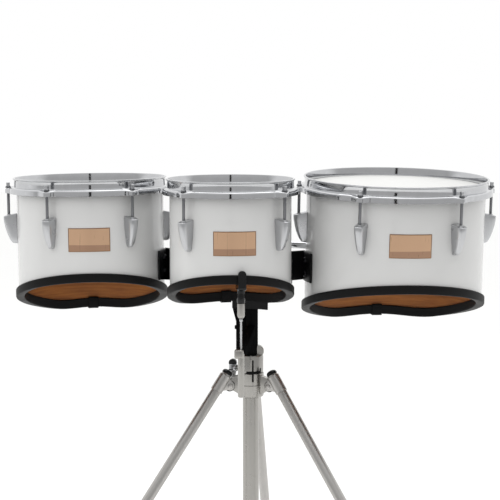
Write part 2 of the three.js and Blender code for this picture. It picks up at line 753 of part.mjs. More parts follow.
function steadySleeveGeometry() {
  const top = rimHeight - steady.sleeveTop;
  const bottom = top - steady.sleeveHeight;
  const sleeve = turned([
    [0, bottom],
    [steady.sleeveRadius - steady.sleeveTip / 2, bottom],
    [steady.sleeveRadius, bottom + steady.sleeveTip],
    [steady.sleeveRadius, top],
    [0, top],
  ], tubeSides);
  const bore = bar(
    point(0, 0, bottom - cutOverrun),
    point(0, 0, top + cutOverrun),
    steady.screwRadius + turnGap,
    rodSides,
  );
  const end = steadyPlan();
  return joined([sleeve], [bore]).translate(end.x, end.y, 0);
}

// Cradle: a rubber-coated hook that takes the centre drum's front edge from below
function cradleGeometry() {
  const edgeDepth = cutDepth(centreDrum, steady.angle);
  const half = cradle.width / 2;
  const slotHalf = (shell.wall + guard.inset + guard.outset) / 2 + 2 * seatGap;
  const saddleTop = rimHeight - edgeDepth - 2 * seatGap;
  const front = -slotHalf - cradle.prong;
  const back = slotHalf + cradle.prong;
  const saddle = block(
    point(-half, front, saddleTop - cradle.saddle),
    point(half, back, saddleTop),
  );
  const outerProng = block(
    point(-half, front, saddleTop - cradle.saddle),
    point(half, -slotHalf, rimHeight - cradle.prongTop),
  );
  const innerProng = block(
    point(-half, slotHalf, saddleTop - cradle.saddle),
    point(half, back, rimHeight - cradle.innerTop),
  );
  const collar = bar(
    point(0, 0, rimHeight - cradle.collarBottom),
    point(0, 0, saddleTop - cradle.saddle / 2),
    cradle.collarRadius,
    tubeSides,
  );
  const bore = bar(
    point(0, 0, rimHeight - cradle.collarBottom - cutOverrun),
    point(0, 0, rimHeight - cradle.collarBottom + cradle.bore),
    steady.screwRadius + seatGap,
    rodSides,
  );
  const end = steadyPlan();
  const made = joined([saddle, outerProng, innerProng, collar], [bore]);
  return made.rotateZ(radians(steady.angle)).translate(end.x, end.y, 0);
}

// Base tube: the chrome outer tube that the post slides in
function baseTubeGeometry() {
  return ringSolid(evenAngles(tubeSides), () => [
    [baseTube.radius - baseTube.wall, rimHeight - baseTube.bottom],
    [baseTube.radius, rimHeight - baseTube.bottom],
    [baseTube.radius, rimHeight - baseTube.top],
    [baseTube.radius - baseTube.wall, rimHeight - baseTube.top],
  ]);
}

// Turns a piece made along -X to the clamp screw's direction.
const toScrew = (geometry) => geometry.rotateZ(radians(clamp.screwBearing) - Math.PI);

// Height clamp: a split collar with an ear on the right and the knob's boss on the left
function clampGeometry() {
  const bottom = rimHeight - clamp.bottom;
  const top = rimHeight - clamp.top;
  const collar = bar(point(0, 0, bottom), point(0, 0, top), clamp.radius, tubeSides);
  const ear = bar(
    point(clamp.earOutset, -clamp.earThickness / 2, rimHeight - clamp.earDepth),
    point(clamp.earOutset, clamp.earThickness / 2, rimHeight - clamp.earDepth),
    clamp.earRadius,
    tubeSides,
  );
  const screwHeight = rimHeight - clamp.screwDepth;
  const boss = toScrew(bar(
    point(-baseTube.radius, 0, screwHeight),
    point(-clamp.bossReach, 0, screwHeight),
    clamp.bossRadius,
    tubeSides,
  ));
  const postBore = bar(
    point(0, 0, bottom - cutOverrun),
    point(0, 0, top + 4 * cutOverrun),
    post.radius + seatGap,
    tubeSides,
  );
  const tubeBore = bar(
    point(0, 0, bottom - cutOverrun),
    point(0, 0, rimHeight - baseTube.top + seatGap),
    baseTube.radius + seatGap,
    tubeSides,
  );
  const screwBore = toScrew(bar(
    point(-baseTube.radius, 0, screwHeight),
    point(-clamp.bossReach - cutOverrun, 0, screwHeight),
    knob.stemRadius + turnGap,
    rodSides,
  ));
  const slit = block(
    point(-clamp.slit / 2, -clamp.radius - cutOverrun, bottom - cutOverrun),
    point(clamp.slit / 2, -post.radius / 2, rimHeight - clamp.slitTop),
  );
  return joined([collar, ear, boss], [postBore, tubeBore, screwBore, slit]);
}

// Clamp knob: a two-winged grip on its screw
function knobGeometry() {
  const tip = -clamp.bossReach - seatGap;
  const stem = bar(
    point(tip + knob.stemLength, 0, 0),
    point(tip - knob.hubLength / 2, 0, 0),
    knob.stemRadius,
    rodSides,
  );
  const hub = bar(
    point(tip, 0, 0),
    point(tip - knob.hubLength, 0, 0),
    knob.hubRadius,
    tubeSides,
    knob.hubRadius - knob.stemRadius / 2,
  );
  const wingAt = knob.wingSpan - knob.wingRadius;
  const outline = new THREE.Shape();
  outline.absarc(0, wingAt, knob.wingRadius, 0, Math.PI);
  outline.absarc(0, -wingAt, knob.wingRadius, Math.PI, 2 * Math.PI);
  const wing = plate(outline, knob.wingThickness)
    .translate(tip - seatGap - knob.wingRadius, 0, 0);
  return toScrew(joined([stem, hub, wing])).translate(0, 0, rimHeight - clamp.screwDepth);
}

const splayAngle = radians(leg.splay);
const legDown = point(Math.sin(splayAngle), 0, -Math.cos(splayAngle));
const legOut = point(Math.cos(splayAngle), 0, Math.sin(splayAngle));
const tongueRadius = leg.offset - leg.radius - leg.wrap - seatGap;
const pinPoint = point(spider.pinCircle, 0, rimHeight - spider.pinDepth);
const fromPin = (out, down) => (
  pinPoint.clone().addScaledVector(legOut, out).addScaledVector(legDown, down));

// Spider: the hub that holds the base tube, with a tongue and stop face for each leg
function spiderGeometry() {
  const top = rimHeight - clamp.bottom - seatGap;
  const bottom = top - spider.height;
  const hub = bar(point(0, 0, bottom), point(0, 0, top), spider.radius, tubeSides);
  const stopTop = fromPin(tongueRadius, -spider.stopLength);
  const stopLow = fromPin(tongueRadius, 0);
  const outline = new THREE.Shape();
  outline.moveTo(baseTube.radius, top);
  outline.lineTo(stopTop.x, stopTop.z);
  outline.lineTo(stopLow.x, stopLow.z);
  outline.absarc(pinPoint.x, pinPoint.z, tongueRadius, splayAngle, -Math.PI / 2, true);
  outline.lineTo(baseTube.radius, bottom);
  const tongues = [];
  const cuts = [bar(
    point(0, 0, bottom - cutOverrun),
    point(0, 0, top + cutOverrun),
    baseTube.radius + seatGap,
    tubeSides,
  )];
  Object.values(legAzimuths).forEach((azimuth) => {
    tongues.push(plate(outline, spider.tongue).rotateZ(radians(azimuth)));
    cuts.push(bar(
      point(spider.pinCircle, -spider.tongue, pinPoint.z),
      point(spider.pinCircle, spider.tongue, pinPoint.z),
      leg.pinRadius + turnGap,
      rodSides,
    ).rotateZ(radians(azimuth)));
  });
  cuts.push(block(
    point(-clamp.slit / 2, -spider.radius - cutOverrun, top - spider.slitDrop),
    point(clamp.slit / 2, -post.radius / 2, top + cutOverrun),
  ));
  return joined([hub, ...tongues], cuts);
}

// Leg: tube, folded bracket with its pivot pin, end plug and rubber foot cut flat on the floor
function legGeometry() {
  const tubeTop = -leg.topReach;
  const toFloor = (pinPoint.z + leg.offset * legOut.z) / Math.cos(splayAngle);
  const onAxis = (along) => fromPin(leg.offset, along);
  const tube = bar(onAxis(tubeTop), onAxis(toFloor - leg.footLength / 2), leg.radius, legSides);
  const plug = bar(
    onAxis(tubeTop - leg.plugLength),
    onAxis(tubeTop + leg.plugLength),
    leg.radius - leg.plugProud,
    legSides,
  );
  const wrapHigh = onAxis(-leg.wrapTop);
  const wrapLow = onAxis(leg.wrapBottom);
  const wrap = bar(wrapHigh, wrapLow, leg.radius + leg.wrap, legSides);
  const cheekShape = new THREE.Shape();
  cheekShape.moveTo(wrapHigh.x, wrapHigh.z);
  cheekShape.absarc(pinPoint.x, pinPoint.z, leg.cheekRadius, splayAngle + Math.PI / 2,
    splayAngle + 1.5 * Math.PI, false);
  cheekShape.lineTo(wrapLow.x, wrapLow.z);
  const cheekMiddle = spider.tongue / 2 + seatGap + leg.cheek / 2;
  const cheeks = [-cheekMiddle, cheekMiddle].map((y) => plate(cheekShape, leg.cheek).translate(0, y, 0));
  const outside = cheekMiddle + leg.cheek / 2;
  const pin = bar(point(pinPoint.x, -outside, pinPoint.z), point(pinPoint.x, outside, pinPoint.z),
    leg.pinRadius, rodSides);
  const heads = [-outside, outside].map((y) => bar(
    point(pinPoint.x, y - leg.pinHead, pinPoint.z),
    point(pinPoint.x, y + leg.pinHead, pinPoint.z),
    leg.pinHeadRadius,
    rodSides,
  ));
  const foot = bar(
    onAxis(toFloor - leg.footLength),
    onAxis(toFloor + leg.footRadius),
    leg.footNeck,
    legSides,
    leg.footRadius,
  );
  const below = block(
    point(0, -leg.footLength, -leg.footLength),
    point(2 * toFloor, leg.footLength, 0),
  );
  return joined([tube, plug, wrap, ...cheeks, pin, ...heads, foot], [below]);
}

// The whole object
const group = new THREE.Group();
const add = (name, geometry, finish, parent = group) => parent.add(mesh(name, geometry, finish));

drums.forEach((drum) => {
  const own = drumGroup(drum);
  group.add(own);
  add(`${drum.name}_shell`, shellGeometry(drum), finishes.lacquer, own);
  add(`${drum.name}_head`, headGeometry(drum), finishes.film, own);
  add(`${drum.name}_hoop`, hoopGeometry(drum), finishes.chrome, own);
  add(`${drum.name}_guard`, guardGeometry(drum), finishes.rubber, own);
  lugAngles(drum).forEach((angle, i) => {
    add(`${drum.name}_lug_${i + 1}`, lugGeometry(drum, angle), finishes.chrome, own);
    add(`${drum.name}_rod_${i + 1}`, rodGeometry(drum, angle), finishes.darkSteel, own);
  });
});
add('left_bracket', bracketGeometry(leftDrum, leftBracket), finishes.blackSteel);
add('right_bracket', bracketGeometry(rightDrum, rightBracket), finishes.blackSteel);
add('mount', mountGeometry(), finishes.blackSteel);
add('brace', braceGeometry(), finishes.chrome);
add('post', postGeometry(), finishes.blackSteel);
add('steady_tube', steadyTubeGeometry(), finishes.chrome);
add('steady_screw', steadyScrewGeometry(), finishes.darkSteel);
add('steady_sleeve', steadySleeveGeometry(), finishes.chrome);
add('cradle', cradleGeometry(), finishes.rubber);
add('base_tube', baseTubeGeometry(), finishes.chrome);
add('height_clamp', clampGeometry(), finishes.chrome);
add('clamp_knob', knobGeometry(), finishes.rubber);
add('spider', spiderGeometry(), finishes.chrome);
Object.entries(legAzimuths).forEach(([name, azimuth]) => {
  const own = new THREE.Group();
  own.rotation.z = radians(azimuth);
  group.add(own);
  add(`leg_${name}`, legGeometry(), finishes.chrome, own);
});

const bounds = new THREE.Box3().setFromObject(group, true);
const middle = point(midway(bounds.min.x, bounds.max.x), midway(bounds.min.y, bounds.max.y), bounds.min.z);
group.position.copy(middle).negate();
group.updateMatrixWorld(true);

export default group;
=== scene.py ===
"""Marching tenor drums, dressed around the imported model.

Each drum gets a lacquered shell with a wooden inside, a coated head, a pressed chrome hoop, a
rubber edge guard, bullet lugs, tension rods and a bare badge plate. The stand below them gets its
brackets, mount, post, sprung steady, clamp, spider and legs. Every length is in metres, except
where a helper says that it takes millimetres.
"""

import json
import logging
import math
from collections.abc import Callable, Iterable, Sequence
from dataclasses import dataclass, field
from enum import Enum
from functools import cache

import bpy
from mathutils import Matrix, Vector


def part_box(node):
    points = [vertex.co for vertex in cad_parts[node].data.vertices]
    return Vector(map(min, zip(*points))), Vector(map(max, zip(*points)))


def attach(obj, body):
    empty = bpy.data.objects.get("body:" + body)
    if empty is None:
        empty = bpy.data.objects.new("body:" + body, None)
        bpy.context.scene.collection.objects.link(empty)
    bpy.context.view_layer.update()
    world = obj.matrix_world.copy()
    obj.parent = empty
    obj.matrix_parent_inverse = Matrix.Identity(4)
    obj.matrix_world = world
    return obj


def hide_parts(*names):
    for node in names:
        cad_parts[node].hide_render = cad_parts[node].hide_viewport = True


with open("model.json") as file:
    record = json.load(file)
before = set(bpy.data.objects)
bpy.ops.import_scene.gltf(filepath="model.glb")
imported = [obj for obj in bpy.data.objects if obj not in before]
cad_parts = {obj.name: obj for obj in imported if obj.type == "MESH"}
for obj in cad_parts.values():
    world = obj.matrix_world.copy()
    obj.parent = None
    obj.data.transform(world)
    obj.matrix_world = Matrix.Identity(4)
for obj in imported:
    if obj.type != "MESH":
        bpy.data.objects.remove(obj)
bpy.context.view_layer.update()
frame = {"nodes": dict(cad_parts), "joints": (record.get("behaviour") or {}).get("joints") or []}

log = logging.getLogger("tenor_drums")
MM = 0.001
TURN = 2 * math.pi
# Running clearance between neighbouring pieces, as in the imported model
GAP = 0.35 * MM
# Outer radius of the post, in millimetres
POST_RADIUS = 12.5
UP = Vector((0.0, 0.0, 1.0))

Piece = bpy.types.Object
Profile = Sequence[tuple[float, float]]


def linear(hex_colour: str) -> tuple[float, float, float, float]:
    """Turns an sRGB hex colour to the linear colour that shaders take.

    Args:
        hex_colour: Six hex digits, such as "C8A27F".

    Returns:
        Linear red, green and blue with an alpha of one.
    """
    parts = [int(hex_colour[i:i + 2], 16) / 255 for i in (0, 2, 4)]
    red, green, blue = (p / 12.92 if p <= 0.04045 else ((p + 0.055) / 1.055) ** 2.4 for p in parts)
    return red, green, blue, 1.0


def add_node(tree: bpy.types.NodeTree, kind: str, settings: dict | None = None,
             links: dict | None = None) -> bpy.types.Node:
    """Adds one shader node.

    Args:
        tree: The material's node tree.
        kind: The node's type name, without the word ShaderNode.
        settings: Values by socket name, socket number or property name.
        links: Output sockets by the name or number of the input socket that they feed.

    Returns:
        The new node.
    """
    made = tree.nodes.new(f"ShaderNode{kind}")
    for name, value in (settings or {}).items():
        if isinstance(name, int) or name in made.inputs:
            made.inputs[name].default_value = value
        else:
            setattr(made, name, value)
    for socket, source in (links or {}).items():
        tree.links.new(source, made.inputs[socket])
    return made


def noise(tree: bpy.types.NodeTree, place: bpy.types.NodeSocket, scale: float, detail: float,
          roughness: float = 0.5) -> bpy.types.NodeSocket:
    """Adds a noise texture and gives its factor."""
    return add_node(tree, "TexNoise", {"Scale": scale, "Detail": detail, "Roughness": roughness},
                    {"Vector": place}).outputs["Fac"]


def ranged(tree: bpy.types.NodeTree, value: bpy.types.NodeSocket, low: float, high: float,
           start: float = 0.0, stop: float = 1.0) -> bpy.types.NodeSocket:
    """Stretches the values from start to stop over low to high."""
    return add_node(tree, "MapRange", {"From Min": start, "From Max": stop, "To Min": low, "To Max": high},
                    {"Value": value}).outputs["Result"]


def scaled(tree: bpy.types.NodeTree, place: bpy.types.NodeSocket,
           scale: tuple[float, float, float]) -> bpy.types.NodeSocket:
    """Scales the coordinates that a texture reads."""
    return add_node(tree, "Mapping", {"Scale": scale}, {"Vector": place}).outputs["Vector"]


def bump(tree: bpy.types.NodeTree, height: bpy.types.NodeSocket, distance: float,
         strength: float) -> bpy.types.NodeSocket:
    """Turns a texture to a normal."""
    return add_node(tree, "Bump", {"Distance": distance, "Strength": strength},
                    {"Height": height}).outputs["Normal"]


class Slot(Enum):
    """The record's material slots, one named by each finish."""

    LACQUER = "lacquer"
    FILM = "drum_film"
    CHROME = "chrome"
    RUBBER = "edge_rubber"
    BLACK_STEEL = "black_steel"
    ROD_STEEL = "rod_steel"
    PLASTIC = "knob_plastic"


@dataclass(frozen=True)
class Finish:
    """A surface finish: what the material is, and how its surface was made.

    The mottle and grain sizes and the grain's height are in millimetres.
    """

    name: str
    slot: Slot
    colour: str
    roughness: float
    metallic: float = 0.0
    specular: float = 0.5
    coat: float = 0.0
    mottle: float = 0.04
    mottle_size: float = 30.0
    grain_size: float = 0.6
    grain_height: float = 0.004
    stretch: tuple[float, float, float] = (1.0, 1.0, 1.0)

    def build(self) -> bpy.types.Material:
        """Makes the material.

        Returns:
            A new node material that reads Object coordinates.
        """
        material = bpy.data.materials.new(self.name)
        material.use_nodes = True
        tree = material.node_tree
        tree.nodes.clear()
        place = scaled(tree, add_node(tree, "TexCoord").outputs["Object"], self.stretch)
        shader = add_node(tree, "BsdfPrincipled", {
            "Metallic": self.metallic, "IOR": 1.5, "Specular IOR Level": self.specular,
            "Roughness": self.roughness, "Coat Weight": self.coat, "Coat Roughness": 0.03,
        }, self.paint(tree, place))
        add_node(tree, "OutputMaterial", {}, {"Surface": shader.outputs["BSDF"]})
        return material

    def paint(self, tree: bpy.types.NodeTree,
              place: bpy.types.NodeSocket) -> dict[str, bpy.types.NodeSocket]:
        """Lays the colour, the gloss and the grain.

        Args:
            tree: The material's node tree.
            place: Where on the piece a point lies, in stretched metres.

        Returns:
            What feeds the shader, by the socket that it feeds.
        """
        cloud = noise(tree, place, 1 / (self.mottle_size * MM), 4.0)
        shade = ranged(tree, cloud, 1 - self.mottle, 1.0, 0.3, 0.7)
        tint = add_node(tree, "Mix", {"data_type": "RGBA", "blend_type": "MULTIPLY", 0: 1.0,
                                      6: linear(self.colour)}, {7: shade})
        grain = noise(tree, place, 1 / (self.grain_size * MM), 2.0)
        return {"Base Color": tint.outputs[2],
                "Roughness": ranged(tree, cloud, self.roughness * 0.85, self.roughness * 1.2),
                "Normal": bump(tree, grain, self.grain_height * MM, 1.0)}


@dataclass(frozen=True)
class StainedVeneer(Finish):
    """Stained wood veneer, its grain laid round the shell."""

    dark: str = "7E4A20"
    streak: tuple[float, float, float] = (14.0, 14.0, 260.0)

    def paint(self, tree: bpy.types.NodeTree,
              place: bpy.types.NodeSocket) -> dict[str, bpy.types.NodeSocket]:
        """Lays long streaks of darker stain over fine pores.

        Args:
            tree: The material's node tree.
            place: Where on the piece a point lies.

        Returns:
            What feeds the shader, by the socket that it feeds.
        """
        grain = noise(tree, scaled(tree, place, self.streak), 1.0, 8.0, 0.62)
        ramp = add_node(tree, "ValToRGB", {}, {"Fac": grain})
        for stop, position, colour in zip(ramp.color_ramp.elements, (0.32, 0.62), (self.dark, self.colour)):
            stop.position = position
            stop.color = linear(colour)
        return {"Base Color": ramp.outputs["Color"],
                "Normal": bump(tree, grain, self.grain_height * MM, 0.5)}


@dataclass(frozen=True)
class BrushedPlate(Finish):
    """Brushed and lacquered metal with a darker band along its foot."""

    band: str = "B08C73"
    band_height: float = 0.0

    def paint(self, tree: bpy.types.NodeTree,
              place: bpy.types.NodeSocket) -> dict[str, bpy.types.NodeSocket]:
        """Lays upright brush lines, and the darker band below its line.

        Args:
            tree: The material's node tree.
            place: Where on the piece a point lies.

        Returns:
            What feeds the shader, by the socket that it feeds.
        """
        brush = noise(tree, scaled(tree, place, (900.0, 900.0, 8.0)), 1.0, 2.0)
        height = add_node(tree, "SeparateXYZ", {}, {"Vector": place}).outputs["Z"]
        step = ranged(tree, height, 0.0, 1.0, self.band_height - 0.5 * MM, self.band_height)
        mix = add_node(tree, "Mix", {"data_type": "RGBA", 6: linear(self.band), 7: linear(self.colour)},
                       {0: step})
        return {"Base Color": mix.outputs[2],
                "Roughness": ranged(tree, brush, self.roughness * 0.75, self.roughness * 1.3),
                "Normal": bump(tree, brush, self.grain_height * MM, 0.5)}


# White polyester lacquer over ply, sprayed and buffed: a hard gloss with a trace of orange peel
LACQUER = Finish("white_polyester_lacquer", Slot.LACQUER, "D4D4D3", 0.22, coat=0.4, mottle=0.015,
                 grain_size=2.2, grain_height=0.003)
# Maple ply stained and oiled inside: warm brown streaks with open pores
VENEER = StainedVeneer("stained_maple_veneer", Slot.LACQUER, "A6682F", 0.5, specular=0.3, grain_height=0.05)
# Polyester film with a sprayed coat: bright, matt and finely speckled
FILM = Finish("coated_polyester_film", Slot.FILM, "CFCFCD", 0.62, mottle=0.03, mottle_size=60,
              grain_size=0.5, grain_height=0.03)
# Bright chrome plate on rolled steel: a mirror with faint handling haze
CHROME = Finish("bright_chrome_plate", Slot.CHROME, "C6C7C9", 0.07, metallic=1.0, mottle=0.06,
                mottle_size=14, grain_size=5, grain_height=0.006)
# Chrome plate on zinc castings: a little softer than on rolled steel
CAST_CHROME = Finish("chromed_zinc_casting", Slot.CHROME, "BDBEC0", 0.28, metallic=1.0, mottle=0.03,
                     mottle_size=20, grain_size=1.2, grain_height=0.002)
# Satin chrome plate on the legs: a warm grey with soft, wide reflections
SATIN_CHROME = Finish("satin_chrome_plate", Slot.CHROME, "B3B1AE", 0.33, metallic=1.0, mottle=0.03,
                      mottle_size=40, grain_height=0.0012)
# The same plate on the column and the steady, a shade darker and a little sharper: the darker colour is
# painted shade for these parts under the drums
SHADED_COLUMN_CHROME = Finish("worn_chrome_plate", Slot.CHROME, "A3A19D", 0.27, metallic=1.0, mottle=0.03,
                       mottle_size=40, grain_height=0.0012)
# Zinc-plated steel rod: grey, with a soft drawn sheen
DRAWN_STEEL = Finish("zinc_plated_steel", Slot.ROD_STEEL, "737477", 0.3, metallic=1.0, mottle=0.08,
                     mottle_size=6, grain_size=0.8, grain_height=0.01, stretch=(1.0, 1.0, 0.15))
# Extruded black rubber: satin, with a fine matt bloom
RUBBER = Finish("extruded_black_rubber", Slot.RUBBER, "0A0A0B", 0.5, specular=0.14, mottle=0.3,
                mottle_size=18, grain_size=0.7, grain_height=0.02)
# Vinyl dipped over a steel hook: black and rather glossy
DIPPED_VINYL = Finish("dipped_black_vinyl", Slot.RUBBER, "08080A", 0.2, specular=0.3, mottle=0.2,
                      grain_size=1.5, grain_height=0.02)
# Bronze-coloured plate, brushed upright and lacquered: the border is polished darker
BADGE_BORDER = Finish("polished_bronze_border", Slot.LACQUER, "8E6D52", 0.3, metallic=0.8, mottle_size=20)
# Socket-head bolts, blackened and oiled: dark with small bright edges
BLACK_BOLT = Finish("blackened_steel_bolt", Slot.BLACK_STEEL, "202022", 0.28, metallic=0.9,
                    mottle_size=4, grain_height=0.01)
# Seamless paper: matt and nearly white
FLOOR = Finish("studio_paper", Slot.LACQUER, "F7F7F6", 0.9, mottle=0.01, mottle_size=800,
               grain_size=3, grain_height=0.02)
# Black velvet over a board: it soaks up light and shows no gloss
FLAG = Finish("black_velvet", Slot.LACQUER, "030303", 0.95, specular=0.0, mottle=0.1, mottle_size=200)
# Powder-coated steel: black with a fine baked texture
POWDER_COAT = Finish("black_powder_coat", Slot.BLACK_STEEL, "121213", 0.42, specular=0.14, mottle=0.25,
                     mottle_size=12, grain_size=0.9, grain_height=0.02)
# Matt black powder coat on the post: it shows hardly any light at a grazing angle
MATT_COAT = Finish("matt_black_powder_coat", Slot.BLACK_STEEL, "171718", 0.95, specular=0.0, mottle=0.25,
                   mottle_size=12, grain_size=0.9, grain_height=0.02)
# Glass-filled nylon, moulded: black with a low sheen
NYLON = Finish("moulded_black_nylon", Slot.PLASTIC, "0A0A0B", 0.3, specular=0.35, mottle=0.2,
               mottle_size=8, grain_size=0.5, grain_height=0.02)


@cache
def finished(finish: Finish) -> bpy.types.Material:
    """Gives a finish's material, made once."""
    return finish.build()


def choose(*pieces: Piece) -> None:
    """Selects these pieces alone and makes the last one active.

    Args:
        pieces: What the next operator works on.
    """
    bpy.ops.object.select_all(action="DESELECT")
    for piece in pieces:
        piece.select_set(True)
        bpy.context.view_layer.objects.active = piece


def named(name: str) -> Piece:
    """Names the piece that the last operator made.

    Args:
        name: The piece's name.

    Returns:
        The piece.
    """
    piece = bpy.context.view_layer.objects.active
    piece.name = name
    piece.data.name = name
    return piece


def edit(piece: Piece) -> None:
    """Enters edit mode on a piece with all of it selected.

    Args:
        piece: The piece to shape.
    """
    choose(piece)
    bpy.ops.object.mode_set(mode="EDIT")
    bpy.ops.mesh.select_mode(type="VERT")
    bpy.ops.mesh.select_all(action="SELECT")


def leave() -> None:
    """Goes back to object mode."""
    bpy.ops.object.mode_set(mode="OBJECT")


def outline(name: str, points: Sequence[Vector], closed: bool) -> Piece:
    """Draws an outline: one corner, extruded from point to point.

    Args:
        name: The piece's name.
        points: The corners in order.
        closed: Whether the last corner joins the first.

    Returns:
        A piece of edges alone.
    """
    choose()
    bpy.ops.mesh.primitive_plane_add(size=MM)
    piece = named(name)
    edit(piece)
    bpy.ops.mesh.merge(type="CENTER")
    bpy.ops.transform.translate(value=points[0])
    path = [*points, points[0]] if closed else list(points)
    for here, there in zip(path, path[1:]):
        bpy.ops.mesh.extrude_vertices_move(TRANSFORM_OT_translate={"value": there - here})
    if closed:
        bpy.ops.mesh.select_all(action="SELECT")
        bpy.ops.mesh.remove_doubles(threshold=MM / 1000)
    leave()
    return piece


def mended(piece: Piece) -> Piece:
    """Merges doubled corners and turns every face outwards.

    Args:
        piece: A piece straight from spin, extrude or join.

    Returns:
        The same piece.
    """
    edit(piece)
    bpy.ops.mesh.remove_doubles(threshold=MM / 1000)
    bpy.ops.mesh.normals_make_consistent(inside=False)
    leave()
    return piece


def heading(angle: float) -> Vector:
    """Gives the level direction at an angle from the audience side, in radians."""
    return Vector((math.sin(angle), -math.cos(angle), 0.0))


def about_z(angle: float) -> Matrix:
    """Gives a turn about the Z axis, in radians."""
    return Matrix.Rotation(angle, 4, "Z")


def ring(radius: float, corners: Iterable[tuple[float, float]]) -> list[tuple[float, float]]:
    """Gives a profile from corners in millimetres, out from a radius and up."""
    return [(radius + out * MM, up * MM) for out, up in corners]


def capped(profile: Profile) -> list[tuple[float, float]]:
    """Closes a profile to the axis at both ends."""
    return [(0.0, profile[0][1]), *profile, (0.0, profile[-1][1])]


def arc(radius: float, start: float, end: float, steps: int) -> list[tuple[float, float]]:
    """Gives the corners of an arc about the origin, its two angles in radians."""
    turns = [start + (end - start) * i / steps for i in range(steps + 1)]
    return [(radius * math.cos(turn), radius * math.sin(turn)) for turn in turns]


def turned(name: str, profile: Profile, steps: int = 48, closed: bool = False,
           start: float = 0.0, angle: float = TURN) -> Piece:
    """Spins a profile round the Z axis.

    Args:
        name: The piece's name.
        profile: Radius and height of each corner.
        steps: Facets in the turn.
        closed: Whether the profile is a closed loop.
        start: Where a part turn starts, in radians from the audience side.
        angle: How far it turns, to the right.

    Returns:
        The turned piece, closed at the ends of a part turn.
    """
    way = heading(start)
    piece = outline(name, [way * radius + Vector((0.0, 0.0, height)) for radius, height in profile], closed)
    edit(piece)
    if angle < TURN:
        bpy.ops.mesh.edge_face_add()
    bpy.ops.mesh.spin(steps=steps, angle=-angle, center=(0, 0, 0), axis=(0, 0, 1))
    leave()
    return mended(piece)


def slab(name: str, points: Sequence[Vector], depth: Sequence[float]) -> Piece:
    """Fills an outline and extrudes it.

    Args:
        name: The piece's name.
        points: The outline's corners, all in one plane.
        depth: How far and which way it is extruded.

    Returns:
        A closed plate.
    """
    piece = outline(name, points, closed=True)
    edit(piece)
    bpy.ops.mesh.edge_face_add()
    bpy.ops.mesh.extrude_region_move(TRANSFORM_OT_translate={"value": depth})
    leave()
    return mended(piece)


def block(name: str, low: Sequence[float], high: Sequence[float]) -> Piece:
    """Adds a box between two opposite corners.

    Args:
        name: The piece's name.
        low: Lowest corner.
        high: Highest corner.

    Returns:
        The box.
    """
    low, high = Vector(low), Vector(high)
    choose()
    bpy.ops.mesh.primitive_cube_add(size=1.0)
    piece = named(name)
    edit(piece)
    bpy.ops.transform.resize(value=high - low)
    bpy.ops.transform.translate(value=(low + high) / 2)
    leave()
    return piece


def between(start: Vector, end: Vector) -> Matrix:
    """Gives the place whose origin is the start and whose Z axis runs to the end."""
    return Matrix.Translation(start) @ (end - start).to_track_quat("Z", "Y").to_matrix().to_4x4()


def moved(piece: Piece, place: Matrix | Vector) -> Piece:
    """Puts a place or a shift into a piece's mesh, so that its object stays at the origin.

    Args:
        piece: The piece.
        place: The place, or how far it is shifted.

    Returns:
        The same piece.
    """
    piece.data.transform(Matrix.Translation(place) if isinstance(place, Vector) else place)
    piece.data.update()
    return piece


def bar(name: str, start: Vector, end: Vector, profile: Profile, sides: int = 32,
        radius: float = 0.0) -> Piece:
    """Turns a round bar between two points.

    Args:
        name: The piece's name.
        start: Its first end.
        end: Its last end.
        profile: Millimetres past the radius and share of the length at each corner, in order.
        sides: Facets round it.
        radius: What the profile's radii are counted from.

    Returns:
        The bar, closed at both ends.
    """
    length = (end - start).length
    corners = [(radius + out * MM, share * length) for out, share in profile]
    return moved(turned(name, capped(corners), sides), between(start, end))


def plain_bar(start: Vector, end: Vector, radius: float, sides: int) -> Piece:
    """Makes a plain round bar between two points, to add or to cut with."""
    return bar("plain_bar", start, end, [(0.0, 0.0), (0.0, 1.0)], sides, radius)


def modified(piece: Piece, kind: str, **settings: object) -> Piece:
    """Puts a modifier on a piece and applies it.

    Args:
        piece: The piece.
        kind: The modifier's type.
        settings: The modifier's settings by name.

    Returns:
        The same piece.
    """
    choose(piece)
    modifier = piece.modifiers.new(kind, kind)
    for name, value in settings.items():
        setattr(modifier, name, value)
    bpy.ops.object.modifier_apply(modifier=modifier.name)
    return piece


def rounded(piece: Piece, width: float, segments: int = 2, angle: float = 30.0) -> Piece:
    """Rounds edges sharper than an angle in degrees, by a width in millimetres."""
    return modified(piece, "BEVEL", limit_method="ANGLE", angle_limit=math.radians(angle), width=width * MM,
                    segments=segments, use_clamp_overlap=True)


def combined(piece: Piece, operation: str, others: Iterable[Piece]) -> Piece:
    """Cuts closed shapes out of a piece or fuses them to it, and uses them up.

    Args:
        piece: The piece.
        operation: DIFFERENCE or UNION.
        others: The closed shapes.

    Returns:
        The same piece.
    """
    for other in others:
        modified(piece, "BOOLEAN", operation=operation, object=other)
        bpy.data.objects.remove(other)
    return piece


def cut(piece: Piece, *cutters: Piece) -> Piece:
    """Cuts shapes out of a piece."""
    return combined(piece, "DIFFERENCE", cutters)


def fused(piece: Piece, *others: Piece) -> Piece:
    """Fuses shapes to a piece, as in one casting or weldment."""
    return combined(piece, "UNION", others)


def gathered(name: str, pieces: Sequence[Piece]) -> Piece:
    """Joins loose pieces, such as a set of bolts, into one object.

    Args:
        name: The joined piece's name.
        pieces: What is joined.

    Returns:
        The joined piece.
    """
    choose(*pieces)
    bpy.ops.object.join()
    return named(name)


def copied(piece: Piece, name: str, place: Matrix) -> Piece:
    """Copies a piece with a mesh of its own.

    Args:
        piece: The piece to copy.
        name: The copy's name.
        place: Where the copy goes, from where the first one is.

    Returns:
        The copy.
    """
    choose(piece)
    bpy.ops.object.duplicate(linked=False)
    return moved(named(name), place)


